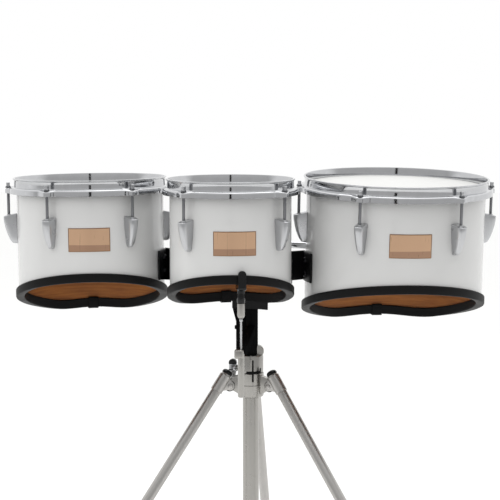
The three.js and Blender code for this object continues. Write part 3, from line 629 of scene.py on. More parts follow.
def reshaped(piece: Piece, place: Callable[[Vector], Vector]) -> Piece:
    """Moves each corner of a piece to a new place.

    Args:
        piece: The piece.
        place: Gives each corner's new place from its old one.

    Returns:
        The same piece.
    """
    for corner in piece.data.vertices:
        corner.co = place(corner.co.copy())
    piece.data.update()
    return piece


def dressed(piece: Piece, finish: Finish, body: str, *nodes: str, smooth: float = 34.0) -> Piece:
    """Gives a piece its finish and the body that it rides on.

    Args:
        piece: The finished mesh, in its place.
        finish: What it is made of.
        body: The body that it moves with.
        nodes: CAD nodes that it stands for.
        smooth: Edges flatter than this are shaded smooth, in degrees.

    Returns:
        The same piece.
    """
    choose(piece)
    bpy.ops.object.shade_smooth_by_angle(angle=math.radians(smooth))
    if not piece.data.materials:
        piece.data.materials.append(finished(finish))
    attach(piece, body)
    if nodes:
        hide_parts(*nodes)
    log.info("%s: %s, %d faces", piece.name, finish.name, len(piece.data.polygons))
    return piece


@dataclass
class Frame:
    """Places that every piece is worked out from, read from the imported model."""

    rim: float = field(default_factory=lambda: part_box("centre_hoop")[1].z)
    column: Vector = field(default_factory=lambda: sum(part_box("base_tube"), Vector()) / 2)
    steady: Vector = field(default_factory=lambda: sum(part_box("steady_screw"), Vector()) / 2)

    def at_column(self, x: float, y: float, depth: float) -> Vector:
        """Gives a point beside the column and below the rims, from millimetres."""
        return Vector((self.column.x + x * MM, self.column.y + y * MM, self.rim - depth * MM))

    def at_steady(self, depth: float) -> Vector:
        """Gives a point on the steady's axis at a depth in millimetres below the rims."""
        return Vector((self.steady.x, self.steady.y, self.rim - depth * MM))

    def to_steady(self) -> tuple[float, Matrix]:
        """Gives how far the steady is from the column, and the turn of the arm that runs to it."""
        reach = (self.steady - self.column).xy
        return reach.length, about_z(math.atan2(reach.x, -reach.y))


@dataclass
class Drum:
    """One drum: shell, head, hoop, edge guard, lugs, tension rods and badge plate.

    Heights are below the rim, outsets are from the shell's outer face, and angles are in degrees.
    """

    name: str
    places: Frame
    diameter: float
    cut_mid: float
    cut_rise: float
    cut_turn: float
    arch_rise: float
    arch_angle: float
    arch_mid: float
    badge_top: float
    steps: int = 216
    wall: float = 6.0 * MM
    guard_outset: float = 5.0 * MM
    guard_inset: float = 3.5 * MM
    guard_floor: float = 3.7 * MM
    clip_proud: float = 2.1 * MM
    rod_outset: float = 14.0 * MM
    place: Matrix = field(init=False)
    lug_angles: list[float] = field(init=False)

    def __post_init__(self) -> None:
        """Finds the drum's place and the angles of its lugs from its rods' joints."""
        joints = sorted((joint for joint in frame["joints"] if joint["name"].startswith(f"{self.name}_rod_")),
                        key=lambda joint: joint["name"])
        axis = Vector(joints[0]["axis"]).normalized()
        axis *= math.copysign(1.0, axis.z)
        across = Vector((axis.z, 0.0, -axis.x)).normalized()
        turn = Matrix((across, axis.cross(across), axis)).transposed().to_4x4()
        middle = sum((Vector(joint["pos_m"]) for joint in joints), Vector()) / len(joints)
        rim = max(axis.dot(corner.co) for corner in frame["nodes"][f"{self.name}_hoop"].data.vertices)
        self.place = Matrix.Translation(middle + axis * (rim - axis.dot(middle))) @ turn
        home = self.place.inverted()
        spots = [home @ Vector(joint["pos_m"]) for joint in joints]
        self.lug_angles = [math.atan2(spot.x, -spot.y) for spot in spots]

    @property
    def radius(self) -> float:
        """Outer radius of the shell."""
        return self.diameter / 2

    def cut_depth(self, corner: Vector) -> float:
        """Depth of the guard's lower edge under a corner.

        Args:
            corner: Where round the drum.

        Returns:
            The depth of the slant cut there, with the low arch at the rear.
        """
        angle = math.atan2(corner.x, -corner.y)
        off = abs(math.remainder(angle - math.radians(self.arch_mid), TURN))
        arch = math.radians(self.arch_angle)
        lift = self.arch_rise * (1 + math.cos(math.pi * off / arch)) / 2 if off < arch else 0.0
        return self.cut_mid - self.cut_rise * math.cos(angle - math.radians(self.cut_turn)) - lift

    def beside(self, angle: float, outset: float, depth: float) -> Vector:
        """Gives a point beside the shell, level at a depth below the rims.

        Args:
            angle: Where round the drum, in degrees from the audience side.
            outset: How far from the shell's outer face.
            depth: How far below the rims.

        Returns:
            The point in the row frame.
        """
        top, axis = self.place.translation, self.place.col[2].xyz
        middle = top + axis * ((self.places.rim - depth - top.z) / axis.z)
        return middle + heading(math.radians(angle)) * (self.radius + outset)

    def facing(self, other: "Drum") -> float:
        """Gives the angle at which another drum lies, in degrees."""
        way = other.place.translation - self.place.translation
        return math.degrees(math.atan2(way.x, -way.y))

    def spun(self, name: str, profile: Profile, closed: bool = False) -> Piece:
        """Turns one of the drum's rings."""
        return turned(f"{self.name}_{name}", profile, self.steps, closed)

    def part(self, piece: Piece, finish: Finish, *nodes: str, smooth: float = 34.0) -> Piece:
        """Puts a piece on the drum and dresses it."""
        return dressed(moved(piece, self.place), finish, "drums", *nodes, smooth=smooth)

    def build(self) -> None:
        """Builds the whole drum."""
        for step in (self.shell, self.head, self.hoop, self.guard, self.lugs, self.lug_screws, self.rods,
                     self.badge):
            step()

    def shell(self) -> None:
        """Turns the shell and drops its lower corners to the slant cut."""
        low = -100.0
        piece = self.spun("shell_wall", ring(self.radius, [
            (-6.0, low), (0.0, low), (0.0, -16.5), (-0.4, -15.4), (-1.5, -14.9), (-6.0, -19.4)]), closed=True)
        rise = self.guard_floor + GAP
        reshaped(piece, lambda c: Vector((c.x, c.y, rise - self.cut_depth(c))) if c.z < low / 2 * MM else c)
        piece.data.materials.append(finished(LACQUER))
        piece.data.materials.append(finished(VENEER))
        for face in piece.data.polygons:
            outward = face.normal.dot(Vector((face.center.x, face.center.y, 0.0)).normalized())
            face.material_index = 0 if outward > 0.5 else 1
        self.part(piece, LACQUER, f"{self.name}_shell")

    def head(self) -> None:
        """Turns the film with its collar, and the flesh hoop that grips it."""
        film = capped(ring(self.radius, [(-1.15, -14.55), (0.35, -16.15), (0.35, -21.0), (0.85, -21.0),
                                         (0.85, -15.75), (-0.85, -14.05)]))
        self.part(self.spun("head_film", film), FILM, f"{self.name}_head", smooth=50)
        flesh = ring(self.radius, [(0.85, -24.6), (7.0, -24.6), (7.0, -20.0), (5.8, -20.0), (5.8, -23.1),
                                   (2.05, -23.1), (2.05, -20.0), (0.85, -20.0)])
        self.part(self.spun("flesh_hoop", flesh, closed=True), DRAWN_STEEL)

    def swell(self, corner: Vector, outset: float) -> float:
        """Says how far the hoop is drawn out at a corner, as a share of the whole ear.

        Args:
            corner: Where on the hoop.
            outset: The flange's outset from the shell.

        Returns:
            One beside a rod, none half an ear's width away.
        """
        angle = math.atan2(corner.x, -corner.y)
        half_ear = 15.0 * MM / (self.radius + outset)
        off = min(abs(math.remainder(angle - lug, TURN)) for lug in self.lug_angles) / half_ear
        return math.cos(off * math.pi / 2) if off < 1 else 0.0

    def hoop(self) -> None:
        """Turns the pressed hoop, draws out its ears and pierces them."""
        step, skirt, flange = -15.4 * MM, -26.0 * MM, 12.4 * MM
        piece = self.spun("counter_hoop", ring(self.radius, [
            (2.2, -17.6), (2.2, -0.9), (2.5, -0.25), (3.2, 0.0), (5.1, 0.0), (5.75, -0.3), (6.0, -0.95),
            (6.0, -1.7), (5.7, -2.3), (4.6, -2.9), (4.1, -3.8), (4.1, -14.1), (4.5, -15.0), (5.4, -15.4),
            (8.8, -15.4), (10.3, -15.9), (11.5, -16.9), (12.15, -18.4), (12.4, -20.6), (12.4, -25.85),
            (12.25, -26.0), (10.2, -26.0), (10.2, -19.0), (8.8, -17.6)]), closed=True)
        draw, dip, wall, fade = 7.2 * MM, 2.0 * MM, self.radius + 5.1 * MM, 3.0 * MM

        def drawn(corner: Vector) -> Vector:
            """Moves a flange corner outwards and down beside a rod.

            Args:
                corner: Where it was turned.

            Returns:
                Where the press draws it to.
            """
            across = math.hypot(corner.x, corner.y)
            share = min(1.0, max(0.0, (across - wall) / fade))
            if share == 0.0 or corner.z > step / 2:
                return corner
            pull = self.swell(corner, flange)
            out = (across + draw * pull * share) / across
            above = min(1.0, max(0.0, (corner.z - skirt) / (step - skirt)))
            return Vector((corner.x * out, corner.y * out, corner.z - dip * pull * above))

        reshaped(piece, drawn)
        spots = [heading(angle) * (self.radius + self.rod_outset) for angle in self.lug_angles]
        holes = [plain_bar(spot - UP * 10 * MM, spot - UP * 30 * MM, 3.45 * MM, 24) for spot in spots]
        self.part(cut(piece, *holes), CHROME, f"{self.name}_hoop")

    def guard_profile(self, proud: float) -> list[tuple[float, float]]:
        """Gives the rubber channel's section round a level edge.

        Args:
            proud: How much thicker it is than the plain channel, in millimetres.

        Returns:
            Radius and height of each corner, with the edge's lowest corner at zero.
        """
        low, high, outer, inner = -proud, 15.0 + proud, 5.0 + proud, -9.5 - proud
        slot_in, slot_out, floor = -6.35, 0.35, 3.7
        return ring(self.radius, [
            (slot_out, high), (slot_out + 1.4, high + 0.1), (outer - 0.9, high - 0.6), (outer, high - 1.9),
            (outer, low + 2.4), (outer - 0.7, low + 0.8), (outer - 2.2, low), (inner + 0.9, low + 0.9),
            (inner, low + 2.0), (inner, high + 1.3), (inner + 0.9, high + 2.2), (slot_in, high + 2.2),
            (slot_in, floor), (slot_out, floor)])

    def lowered(self, piece: Piece) -> Piece:
        """Drops a level ring to the slant cut."""
        return reshaped(piece, lambda c: Vector((c.x, c.y, c.z - self.cut_depth(c))))

    def guard(self) -> None:
        """Turns the edge guard and the clip that closes it at the rear."""
        channel = self.spun("edge_guard", self.guard_profile(0.0), closed=True)
        self.part(self.lowered(channel), RUBBER, f"{self.name}_guard")
        wide, clip_angle = 19.0 * MM / self.radius, math.radians(185.5)
        clip = turned(f"{self.name}_guard_clip", self.guard_profile(self.clip_proud / MM),
                      max(2, round(self.steps * wide / TURN)), True, clip_angle - wide / 2, wide)
        self.part(rounded(self.lowered(clip), 0.3), RUBBER)

    def lug_casing(self) -> Piece:
        """Shapes one lug casing with its swivel nut, level by level.

        Returns:
            The lug at the audience side.
        """
        top, back, height = -64.2 * MM, self.radius + GAP, 49.3 * MM
        reach_top, reach_low, wide_top, wide_low = 22.6 * MM, 9.0 * MM, 8.5 * MM, 4.25 * MM
        levels = [(0.0, 0.93), (0.012, 0.98), (0.035, 1.0), (0.2, 1.0), (0.4, 1.0), (0.6, 1.0), (0.74, 1.0),
                  (0.86, 1.0), (0.95, 0.93), (0.985, 0.82), (1.0, 0.6)]

        def section(share: float, draw: float) -> tuple[float, float]:
            """Gives half the width and the reach at a share of the height."""
            reach = (reach_top - (reach_top - reach_low) * share ** 2.0) * draw
            return (wide_top - (wide_top - wide_low) * share ** 1.6) * draw, reach

        half, reach = section(*levels[0])
        sides = [(0.0, 1.0), (0.35, 1.0), (0.64, 0.99), (0.8, 0.93), (0.91, 0.8), (0.975, 0.62), (1.0, 0.42)]
        both = [*sides, *((out, -wide) for out, wide in reversed(sides))]
        corners = [Vector((half * wide, -back - reach * out, top)) for out, wide in both]
        casing = outline("casing", corners, True)
        edit(casing)
        bpy.ops.mesh.edge_face_add()
        for (share, draw), (before, _) in zip(levels[1:], levels):
            new_half, new_reach = section(share, draw)
            bpy.ops.mesh.extrude_region_move(
                TRANSFORM_OT_translate={"value": (0.0, 0.0, (before - share) * height)})
            bpy.ops.transform.resize(value=(new_half / half, new_reach / reach, 1.0),
                                     center_override=(0.0, -back, top - share * height))
            half, reach = new_half, new_reach
        leave()
        slope, fade, pivot = 4.6 * MM, 0.3 * height, 0.6

        def slanted(corner: Vector) -> Vector:
            """Lowers the casing's top towards its nose."""
            out = (-corner.y - back) / reach_top
            share = max(0.0, 1.0 - (top - corner.z) / fade)
            return Vector((corner.x, corner.y, corner.z + slope * (pivot - out) * share))

        reshaped(mended(casing), slanted)
        axis = Vector((0.0, -self.radius - self.rod_outset, top))
        nut = bar("nut", axis - UP * 5 * MM, axis + UP * 1.4 * MM,
                  [(3.6, 0.0), (3.6, 0.92), (3.3, 0.98), (2.6, 0.98), (2.6, 1.0)])
        return gathered("lug", [nut, casing])

    def lugs(self) -> None:
        """Sets a lug at each rod."""
        lug = self.lug_casing()
        for number, angle in enumerate(self.lug_angles, 1):
            copy = copied(lug, f"{self.name}_lug_casing_{number}", about_z(angle))
            self.part(copy, CAST_CHROME, f"{self.name}_lug_{number}", smooth=40)
        bpy.data.objects.remove(lug)

    def lug_screws(self) -> None:
        """Sets two screws and washers inside the shell behind each lug."""
        profile = [(6.5, 0.0), (6.5, 0.25), (4.2, 0.27), (4.2, 0.72), (3.0, 0.96), (1.5, 1.0), (1.2, 0.7)]
        heads = []
        for way in map(heading, self.lug_angles):
            for depth in (75.0, 103.0):
                wall = way * (self.radius - self.wall) - UP * depth * MM
                heads.append(bar("screw", wall, wall - way * 4.2 * MM, profile, 20))
        self.part(gathered(f"{self.name}_lug_screws", heads), DRAWN_STEEL)

    def rods(self) -> None:
        """Turns one tension rod with its washer and square head, and sets a copy in each ear."""
        seat = -15.4 - 2.0 * math.cos(0.26 * math.pi / 2) + GAP / MM
        low, collar, pitch, threads, half = -80.0, seat + 3.2, 1.1, 16, 2.9
        starts = [low + 1.0 + turn * pitch for turn in range(threads)]
        shank = turned("shank", capped(ring(0.0, [
            (2.1, low), (2.5, low + 0.6),
            *(corner for start in starts for corner in ((2.5, start), (2.15, start + pitch / 2))),
            (2.5, low + 1.0 + threads * pitch), (2.5, seat), (5.0, seat), (5.0, seat + 1.1),
            (4.7, seat + 1.2), (4.4, seat + 1.3), (4.4, collar - 0.8), (3.6, collar)])), 24)
        key = rounded(block("key", Vector((-half, -half, collar - 1.0)) * MM,
                            Vector((half, half, collar + 6.0)) * MM), 0.7, 3)
        axis = Matrix.Translation((0.0, -self.radius - self.rod_outset, 0.0))
        for number, angle in enumerate(self.lug_angles, 1):
            body = f"{self.name}_rod_{number}"
            place = self.place @ about_z(angle) @ axis
            dressed(copied(shank, f"{self.name}_key_rod_{number}", place), DRAWN_STEEL, body, body)
            dressed(copied(key, f"{self.name}_key_head_{number}", place), CAST_CHROME, body)
        bpy.data.objects.remove(shank)
        bpy.data.objects.remove(key)

    def badge(self) -> None:
        """Bends a bare badge plate round the front, with a raised field inside its border."""
        top, height, turn, middle = -self.badge_top / MM, 39.5, 70.0 * MM / self.radius, math.radians(4.6)
        plate = []
        for name, edge, low, high in (("border", 0.0, 0.1, 0.9), ("field", 1.3, 0.8, 1.05)):
            base, crest, inset = top - height + edge, top - edge, edge * MM / self.radius
            loop = ring(self.radius, [(low, base), (high, base), (high, crest), (low, crest)])
            plate.append(turned(f"{self.name}_badge_{name}", loop, 24, True, middle - turn / 2 + inset,
                                turn - 2 * inset))
        self.part(rounded(plate[0], 0.25), BADGE_BORDER)
        foot_share = 0.71
        band = (self.place @ Vector((0.0, -self.radius, (top - height * foot_share) * MM))).z
        self.part(plate[1], BrushedPlate(f"brushed_bronze_{self.name}", Slot.LACQUER, "D2AC8C", 0.3,
                                         metallic=0.6, band_height=band))


@dataclass
class Bracket:
    """A bent steel strip that joins two drums, bolted through both shells.

    Its four angles are counted from the line between the two drums, in degrees.
    """

    name: str
    drum: Drum
    centre: Drum
    front: float
    back: float
    centre_front: float
    centre_back: float
    top: float = 129.0 * MM
    height: float = 50.5 * MM
    sheet: float = 3.2 * MM

    def sides(self) -> list[tuple[Drum, Drum, float, float]]:
        """Gives each drum with its neighbour and the strip's front and back angles."""
        return [(self.drum, self.centre, self.front, self.back),
                (self.centre, self.drum, self.centre_front, self.centre_back)]

    def strip(self, outset: float, trim: float) -> list[Vector]:
        """Gives one side of the strip in plan.

        Args:
            outset: How far it is from the shells.
            trim: How many sheets' thickness it is shorter at its back.

        Returns:
            The corners, from this drum's front to the centre drum's front.
        """
        steps, runs = 10, []
        for drum, other, front, back in self.sides():
            short = trim * math.degrees(self.sheet / drum.radius) * math.copysign(1.0, back - front)
            runs.append([drum.beside(drum.facing(other) + front + (back - short - front) * i / steps, outset,
                                     self.top) for i in range(steps + 1)])
        return runs[0] + runs[1][::-1]

    def build(self) -> None:
        """Extrudes the strip, rounds its edges, and bolts it on."""
        loop = self.strip(2 * GAP, 0) + self.strip(2 * GAP + self.sheet, 2)[::-1]
        piece = slab(f"{self.name}_plate", loop, UP * -self.height)
        lean = self.drum.beside(0, 0, self.top + self.height) - self.drum.beside(0, 0, self.top)
        lean.z = 0.0
        middle = self.drum.places.rim - self.top - self.height / 2
        own, far = self.drum.place.translation.xy, self.centre.place.translation.xy

        def leaning(corner: Vector) -> Vector:
            """Moves a low corner beside this drum along with the drum's lean."""
            near = (corner.xy - own).length - self.drum.radius < (corner.xy - far).length - self.centre.radius
            return corner + lean if near and corner.z < middle else corner

        dressed(rounded(reshaped(piece, leaning), 0.9), POWDER_COAT, "drums", self.name)
        share, inset = 0.42, 13.0 * MM
        bolts = []
        for drum, other, front, back in self.sides():
            angle = drum.facing(other) + front + (back - front) * share
            for depth in (self.top + inset, self.top + self.height - inset):
                way = heading(math.radians(angle))
                bolts.append(button_bolt(drum.beside(angle, 2 * GAP + self.sheet, depth), way, 4.6))
                bolts.append(button_bolt(drum.beside(angle, -drum.wall, depth), -way, 5.4))
        dressed(gathered(f"{self.name}_bolts", bolts), BLACK_BOLT, "drums")


def button_bolt(seat: Vector, way: Vector, radius: float) -> Piece:
    """Turns a button-head bolt with its washer and its hexagon socket.

    Args:
        seat: The middle of the face that it is tightened on.
        way: The way its head points.
        radius: Radius of the head in millimetres.

    Returns:
        The bolt's head and washer.
    """
    start = seat + way * MM
    washer = plain_bar(seat, start, radius * 1.25 * MM, 28)
    profile = [(1.0, 0.0), (1.0, 0.3), (0.93, 0.62), (0.74, 0.87), (0.5, 1.0), (0.42, 0.95), (0.42, 0.35)]
    head = bar("bolt", start, start + way * radius * 0.75 * MM,
               [(radius * out, share) for out, share in profile], 24)
    return gathered("bolt", [washer, head])


@dataclass
class ColumnMount:
    """The black mount on the centre drum's rear, with the chrome brace to the right drum.

    Its sizes and depths are in millimetres.
    """

    centre: Drum
    right: Drum
    top: float = 118.0
    bottom: float = 235.5
    brace_radius: float = 6.4
    brace_angle: float = -121.0

    def build(self) -> None:
        """Builds the mount and the brace."""
        self.mount()
        self.brace()

    def brace_ends(self) -> tuple[Vector, Vector]:
        """Gives the brace's ends, in the mount's socket and on the right drum."""
        beside = POST_RADIUS + self.brace_radius + 3.9
        return (self.centre.places.at_column(-self.brace_radius, beside, 122.0),
                self.right.beside(self.brace_angle, 0.0, 131.0 * MM))

    def mount(self) -> None:
        """Builds the saddle plate, the neck, the post's collar and the brace's socket."""
        centre, at_column = self.centre, self.centre.places.at_column
        way = (centre.places.column - centre.place.translation).xy
        angle = math.atan2(way.x, -way.y)
        to_right, to_left = 35.0 * MM / centre.radius, 26.0 * MM / centre.radius
        inner, plate, outset = 2 * GAP / MM, 4.5, centre.guard_outset / MM
        clear, thick = outset + (centre.clip_proud + GAP) / MM, inner + plate + outset
        saddle = turned("saddle", ring(centre.radius, [
            (inner, -203.0), (clear, -203.0), (clear, -self.bottom), (thick, -self.bottom), (thick, -186.0),
            (inner + plate, -self.top), (inner, -self.top)]), 20, True, angle - to_right, to_right + to_left)
        saddle = rounded(moved(saddle, centre.place), 1.2)
        half, face = 15.0, centre.radius / MM + thick
        neck = block("neck", Vector((-half, -way.length / MM + POST_RADIUS * 0.75, -self.bottom)) * MM,
                     Vector((half, 1.5 - face, -self.top)) * MM)
        neck = moved(rounded(neck, 2.0, 3), centre.place @ about_z(angle))
        bore = POST_RADIUS * MM + GAP
        neck = cut(neck, plain_bar(at_column(0, 0, 250.0), at_column(0, 0, 100.0), bore, 64))
        collar = turned("collar", ring(POST_RADIUS * MM, [
            (0.35, 0.0), (4.5, 0.0), (6.0, 1.5), (6.0, 32.5), (4.5, 34.0), (0.35, 34.0)]), 64, closed=True)
        moved(collar, at_column(0, 0, 146.0))
        socket = turned("socket", capped(ring(self.brace_radius * MM + GAP, [
            (1.7, -3.5), (3.2, -2.0), (3.2, 24.6), (1.8, 26.0), (0.0, 26.0), (0.0, -0.35)])), 40)
        moved(socket, between(*self.brace_ends()))
        bolts = []
        for turn_to in (-to_right, to_left):
            place = centre.place @ about_z(angle + turn_to * 0.72)
            for depth in (135.0, 180.0):
                out = centre.radius / MM + inner + plate + 0.2 + 5.0 * (depth - self.top) / 68.0
                seat = place @ (Vector((0.0, -out, -depth)) * MM)
                bolts.append(button_bolt(seat, place.to_3x3() @ Vector((0.0, -1.0, 0.0)), 4.8))
        dressed(gathered("column_mount", [neck, collar, socket, saddle]), POWDER_COAT, "drums", "mount")
        dressed(gathered("mount_bolts", bolts), BLACK_BOLT, "drums")

    def brace(self) -> None:
        """Runs the brace to its pad on the right drum."""
        start, end = self.brace_ends()
        stop = end - (end - start).normalized() * 3.2 * MM
        tube = bar("tube", start, stop, [(-0.8, 0.0), (0.0, 0.004), (0.0, 1.0)], 40, self.brace_radius * MM)
        angle, turn, drum = math.radians(self.brace_angle), math.radians(11.0), self.right
        section = ring(drum.radius, [(0.7, -15.0), (4.2, -15.0), (4.2, 15.0), (0.7, 15.0)])
        pad = turned("pad", section, 8, True, angle - turn / 2, turn)
        tilt = drum.place.to_3x3()
        pad = moved(rounded(pad, 1.0),
                    Matrix.Translation(end - tilt @ heading(angle) * drum.radius) @ tilt.to_4x4())
        dressed(gathered("chrome_brace", [tube, pad]), CHROME, "drums", "brace")


@dataclass
class Post:
    """The black post weldment: tube, square arm to the steady, gusset, and the arm's bolt.

    Its sizes and depths are in millimetres.
    """

    places: Frame
    top: float = 108.0
    bottom: float = 620.0
    arm_top: float = 267.0

    def build(self) -> None:
        """Builds the weldment and sets its bolt."""
        at_column, length = self.places.at_column, self.bottom - self.top
        wall = ring(POST_RADIUS * MM, [
            (-2.0, 0.0), (-0.5, 0.0), (0.0, 0.6), (0.0, length - 1.8), (-1.8, length)])
        cap = ring(0.0, [(0.0, length), (0.0, length - 2.0), (POST_RADIUS - 2.0, length - 2.0)])
        tube = turned("post_tube", [*wall, *cap], 64)
        moved(tube, at_column(0, 0, self.bottom))
        reach, turn = self.places.to_steady()
        half, arm = 8.5, 17.0
        beam = block("beam", Vector((-half, 7.85 - reach / MM, -arm)) * MM,
                     Vector((half, 2.0 - POST_RADIUS, 0.0)) * MM)
        beam = moved(rounded(beam, 1.6, 3), Matrix.Translation(at_column(0, 0, self.arm_top)) @ turn)
        sheet, front, side, weld = 3.0, -POST_RADIUS / 2, -26.0, -POST_RADIUS * 0.8
        plan = [(weld, 236.5), (-32.0, 236.5), (side, 259.5), (side, 313.0), (weld, 313.0)]
        corners = [at_column(x, front - sheet, depth) for x, depth in plan]
        web = slab("web", corners, (0.0, 2 * sheet * MM, 0.0))
        dressed(gathered("post_weldment", [tube, beam, rounded(web, 0.8)]), MATT_COAT, "drums", "post")
        head = bar("web_bolt", at_column(side, front, 270.0), at_column(side - 2.6, front, 270.0),
                   [(3.6, 0.0), (3.6, 0.6), (3.0, 0.92), (1.8, 1.0), (1.7, 0.4)], 28)
        dressed(head, BLACK_BOLT, "drums")


@dataclass
class Steady:
    """The sprung steady under the centre drum's front edge.

    Its sizes and depths are in millimetres.
    """

    places: Frame
    centre: Drum
    knuckle_top: float = 270.8
    tube_radius: float = 5.3
    screw_radius: float = 1.8

    def build(self) -> None:
        """Builds the knuckle with its tube, the screw, the sleeve and the cradle."""
        self.tube()
        self.screw()
        self.sleeve()
        self.cradle()

    def tube(self) -> None:
        """Builds the knuckle and the spring's tube under it."""
        half, aside, bottom, bore_radius = 7.5, 3.2, 350.0, 2.6
        place = Matrix.Translation(self.places.at_steady(self.knuckle_top)) @ self.places.to_steady()[1]
        knuckle = block("knuckle", Vector((-half - aside, -half, -2 * half)) * MM,
                        Vector((half - aside, half, 0.0)) * MM)
        low = self.knuckle_top - bottom
        tube = turned("spring_tube", capped(ring(self.tube_radius * MM, [
            (-2.6, low), (-1.0, low + 0.7), (0.0, low + 2.4), (0.0, -half)])), 40)
        bore = turned("bore", capped(ring(bore_radius * MM, [(0.0, low + 8.0), (0.0, 6.0)])), 24)
        dressed(moved(cut(fused(rounded(knuckle, 3.2, 5), tube), bore), place), SHADED_COLUMN_CHROME, "drums",
                "steady_tube")

    def screw(self) -> None:
        """Turns the threaded steady screw with its lock nut."""
        at_steady, low, high, pitch = self.places.at_steady, 304.0, 185.6, 0.9
        length = low - high
        starts = [1.0 + turn * pitch for turn in range(int((length - 2) / pitch))]
        rod = turned("threaded_rod", capped(ring(self.screw_radius * MM, [
            (-0.3, 0.0), (0.0, 0.5),
            *(corner for start in starts for corner in ((0.0, start), (-0.28, start + pitch / 2))),
            (0.0, length)])), 20)
        moved(rod, between(at_steady(low), at_steady(high)))
        nut = bar("lock_nut", at_steady(224.9), at_steady(221.3),
                  [(2.7, 0.0), (3.1, 0.15), (3.1, 0.85), (2.7, 1.0)], 6)
        dressed(gathered("steady_threaded_rod", [nut, rod]), CHROME, "steady", "steady_screw")

    def sleeve(self) -> None:
        """Turns the chrome sleeve that sets the steady's height."""
        top, low, bore = 195.6, -24.4, self.screw_radius + 0.6
        profile = ring(0.0, [(bore, low), (3.0, low), (4.4, low + 0.9), (5.5, low + 2.7), (6.0, low + 4.8),
                             (6.0, -0.6), (5.5, 0.0), (bore, 0.0)])
        piece = turned("steady_nut_sleeve", profile, 40, closed=True)
        dressed(moved(piece, self.places.at_steady(top)), SHADED_COLUMN_CHROME, "sleeve", "steady_sleeve")

    def cradle(self) -> None:
        """Builds the dipped hook: saddle, both prongs and the collar below."""
        centre, half, prong, angle = self.centre, 6.85 * MM, 6.0 * MM, math.radians(10.4)
        slot = (centre.wall + centre.guard_inset + centre.guard_outset) / 2 + 2 * GAP
        saddle_top = -centre.cut_depth(heading(angle)) - 2 * GAP
        low, front, tip = saddle_top - 9.0 * MM, -slot - prong, -141.5 * MM - half
        face = [(-half, low + 4 * MM), (half, low + 4 * MM)]
        face += [(x, tip + z) for x, z in arc(half, 0.0, math.pi, 12)]
        strap = slab("hook_strap", [Vector((x, front, z)) for x, z in face], (0.0, prong, 0.0))
        side = [(front, low + 3 * MM), (front, saddle_top), (slot, saddle_top), (slot, -155.0 * MM),
                (slot + prong / 2, -152.0 * MM), (slot + prong, -155.0 * MM), (slot + prong, low + 3 * MM),
                (slot + prong - 3 * MM, low), (front + 3 * MM, low)]
        saddle = slab("hook_saddle", [Vector((-half, y, z)) for y, z in side], (2 * half, 0.0, 0.0))
        hook = fused(rounded(saddle, 2.2, 4, 40.0), rounded(strap, 2.2, 4, 50.0))
        foot, bore, neck = -195.2, 2.6, low / MM + 3.0
        collar = turned("collar", ring(0.0, [
            (bore, foot), (5.8, foot), (6.5, foot + 0.8), (6.6, foot + 12.0), (5.9, foot + 14.5),
            (6.4, foot + 17.0), (6.6, neck), (0.0, neck), (0.0, foot + 10.0), (bore, foot + 10.0)]), 40)
        place = Matrix.Translation(self.places.at_steady(0.0)) @ about_z(angle)
        dressed(moved(gathered("cradle_hook", [collar, hook]), place), DIPPED_VINYL, "steady", "cradle",
                smooth=45)


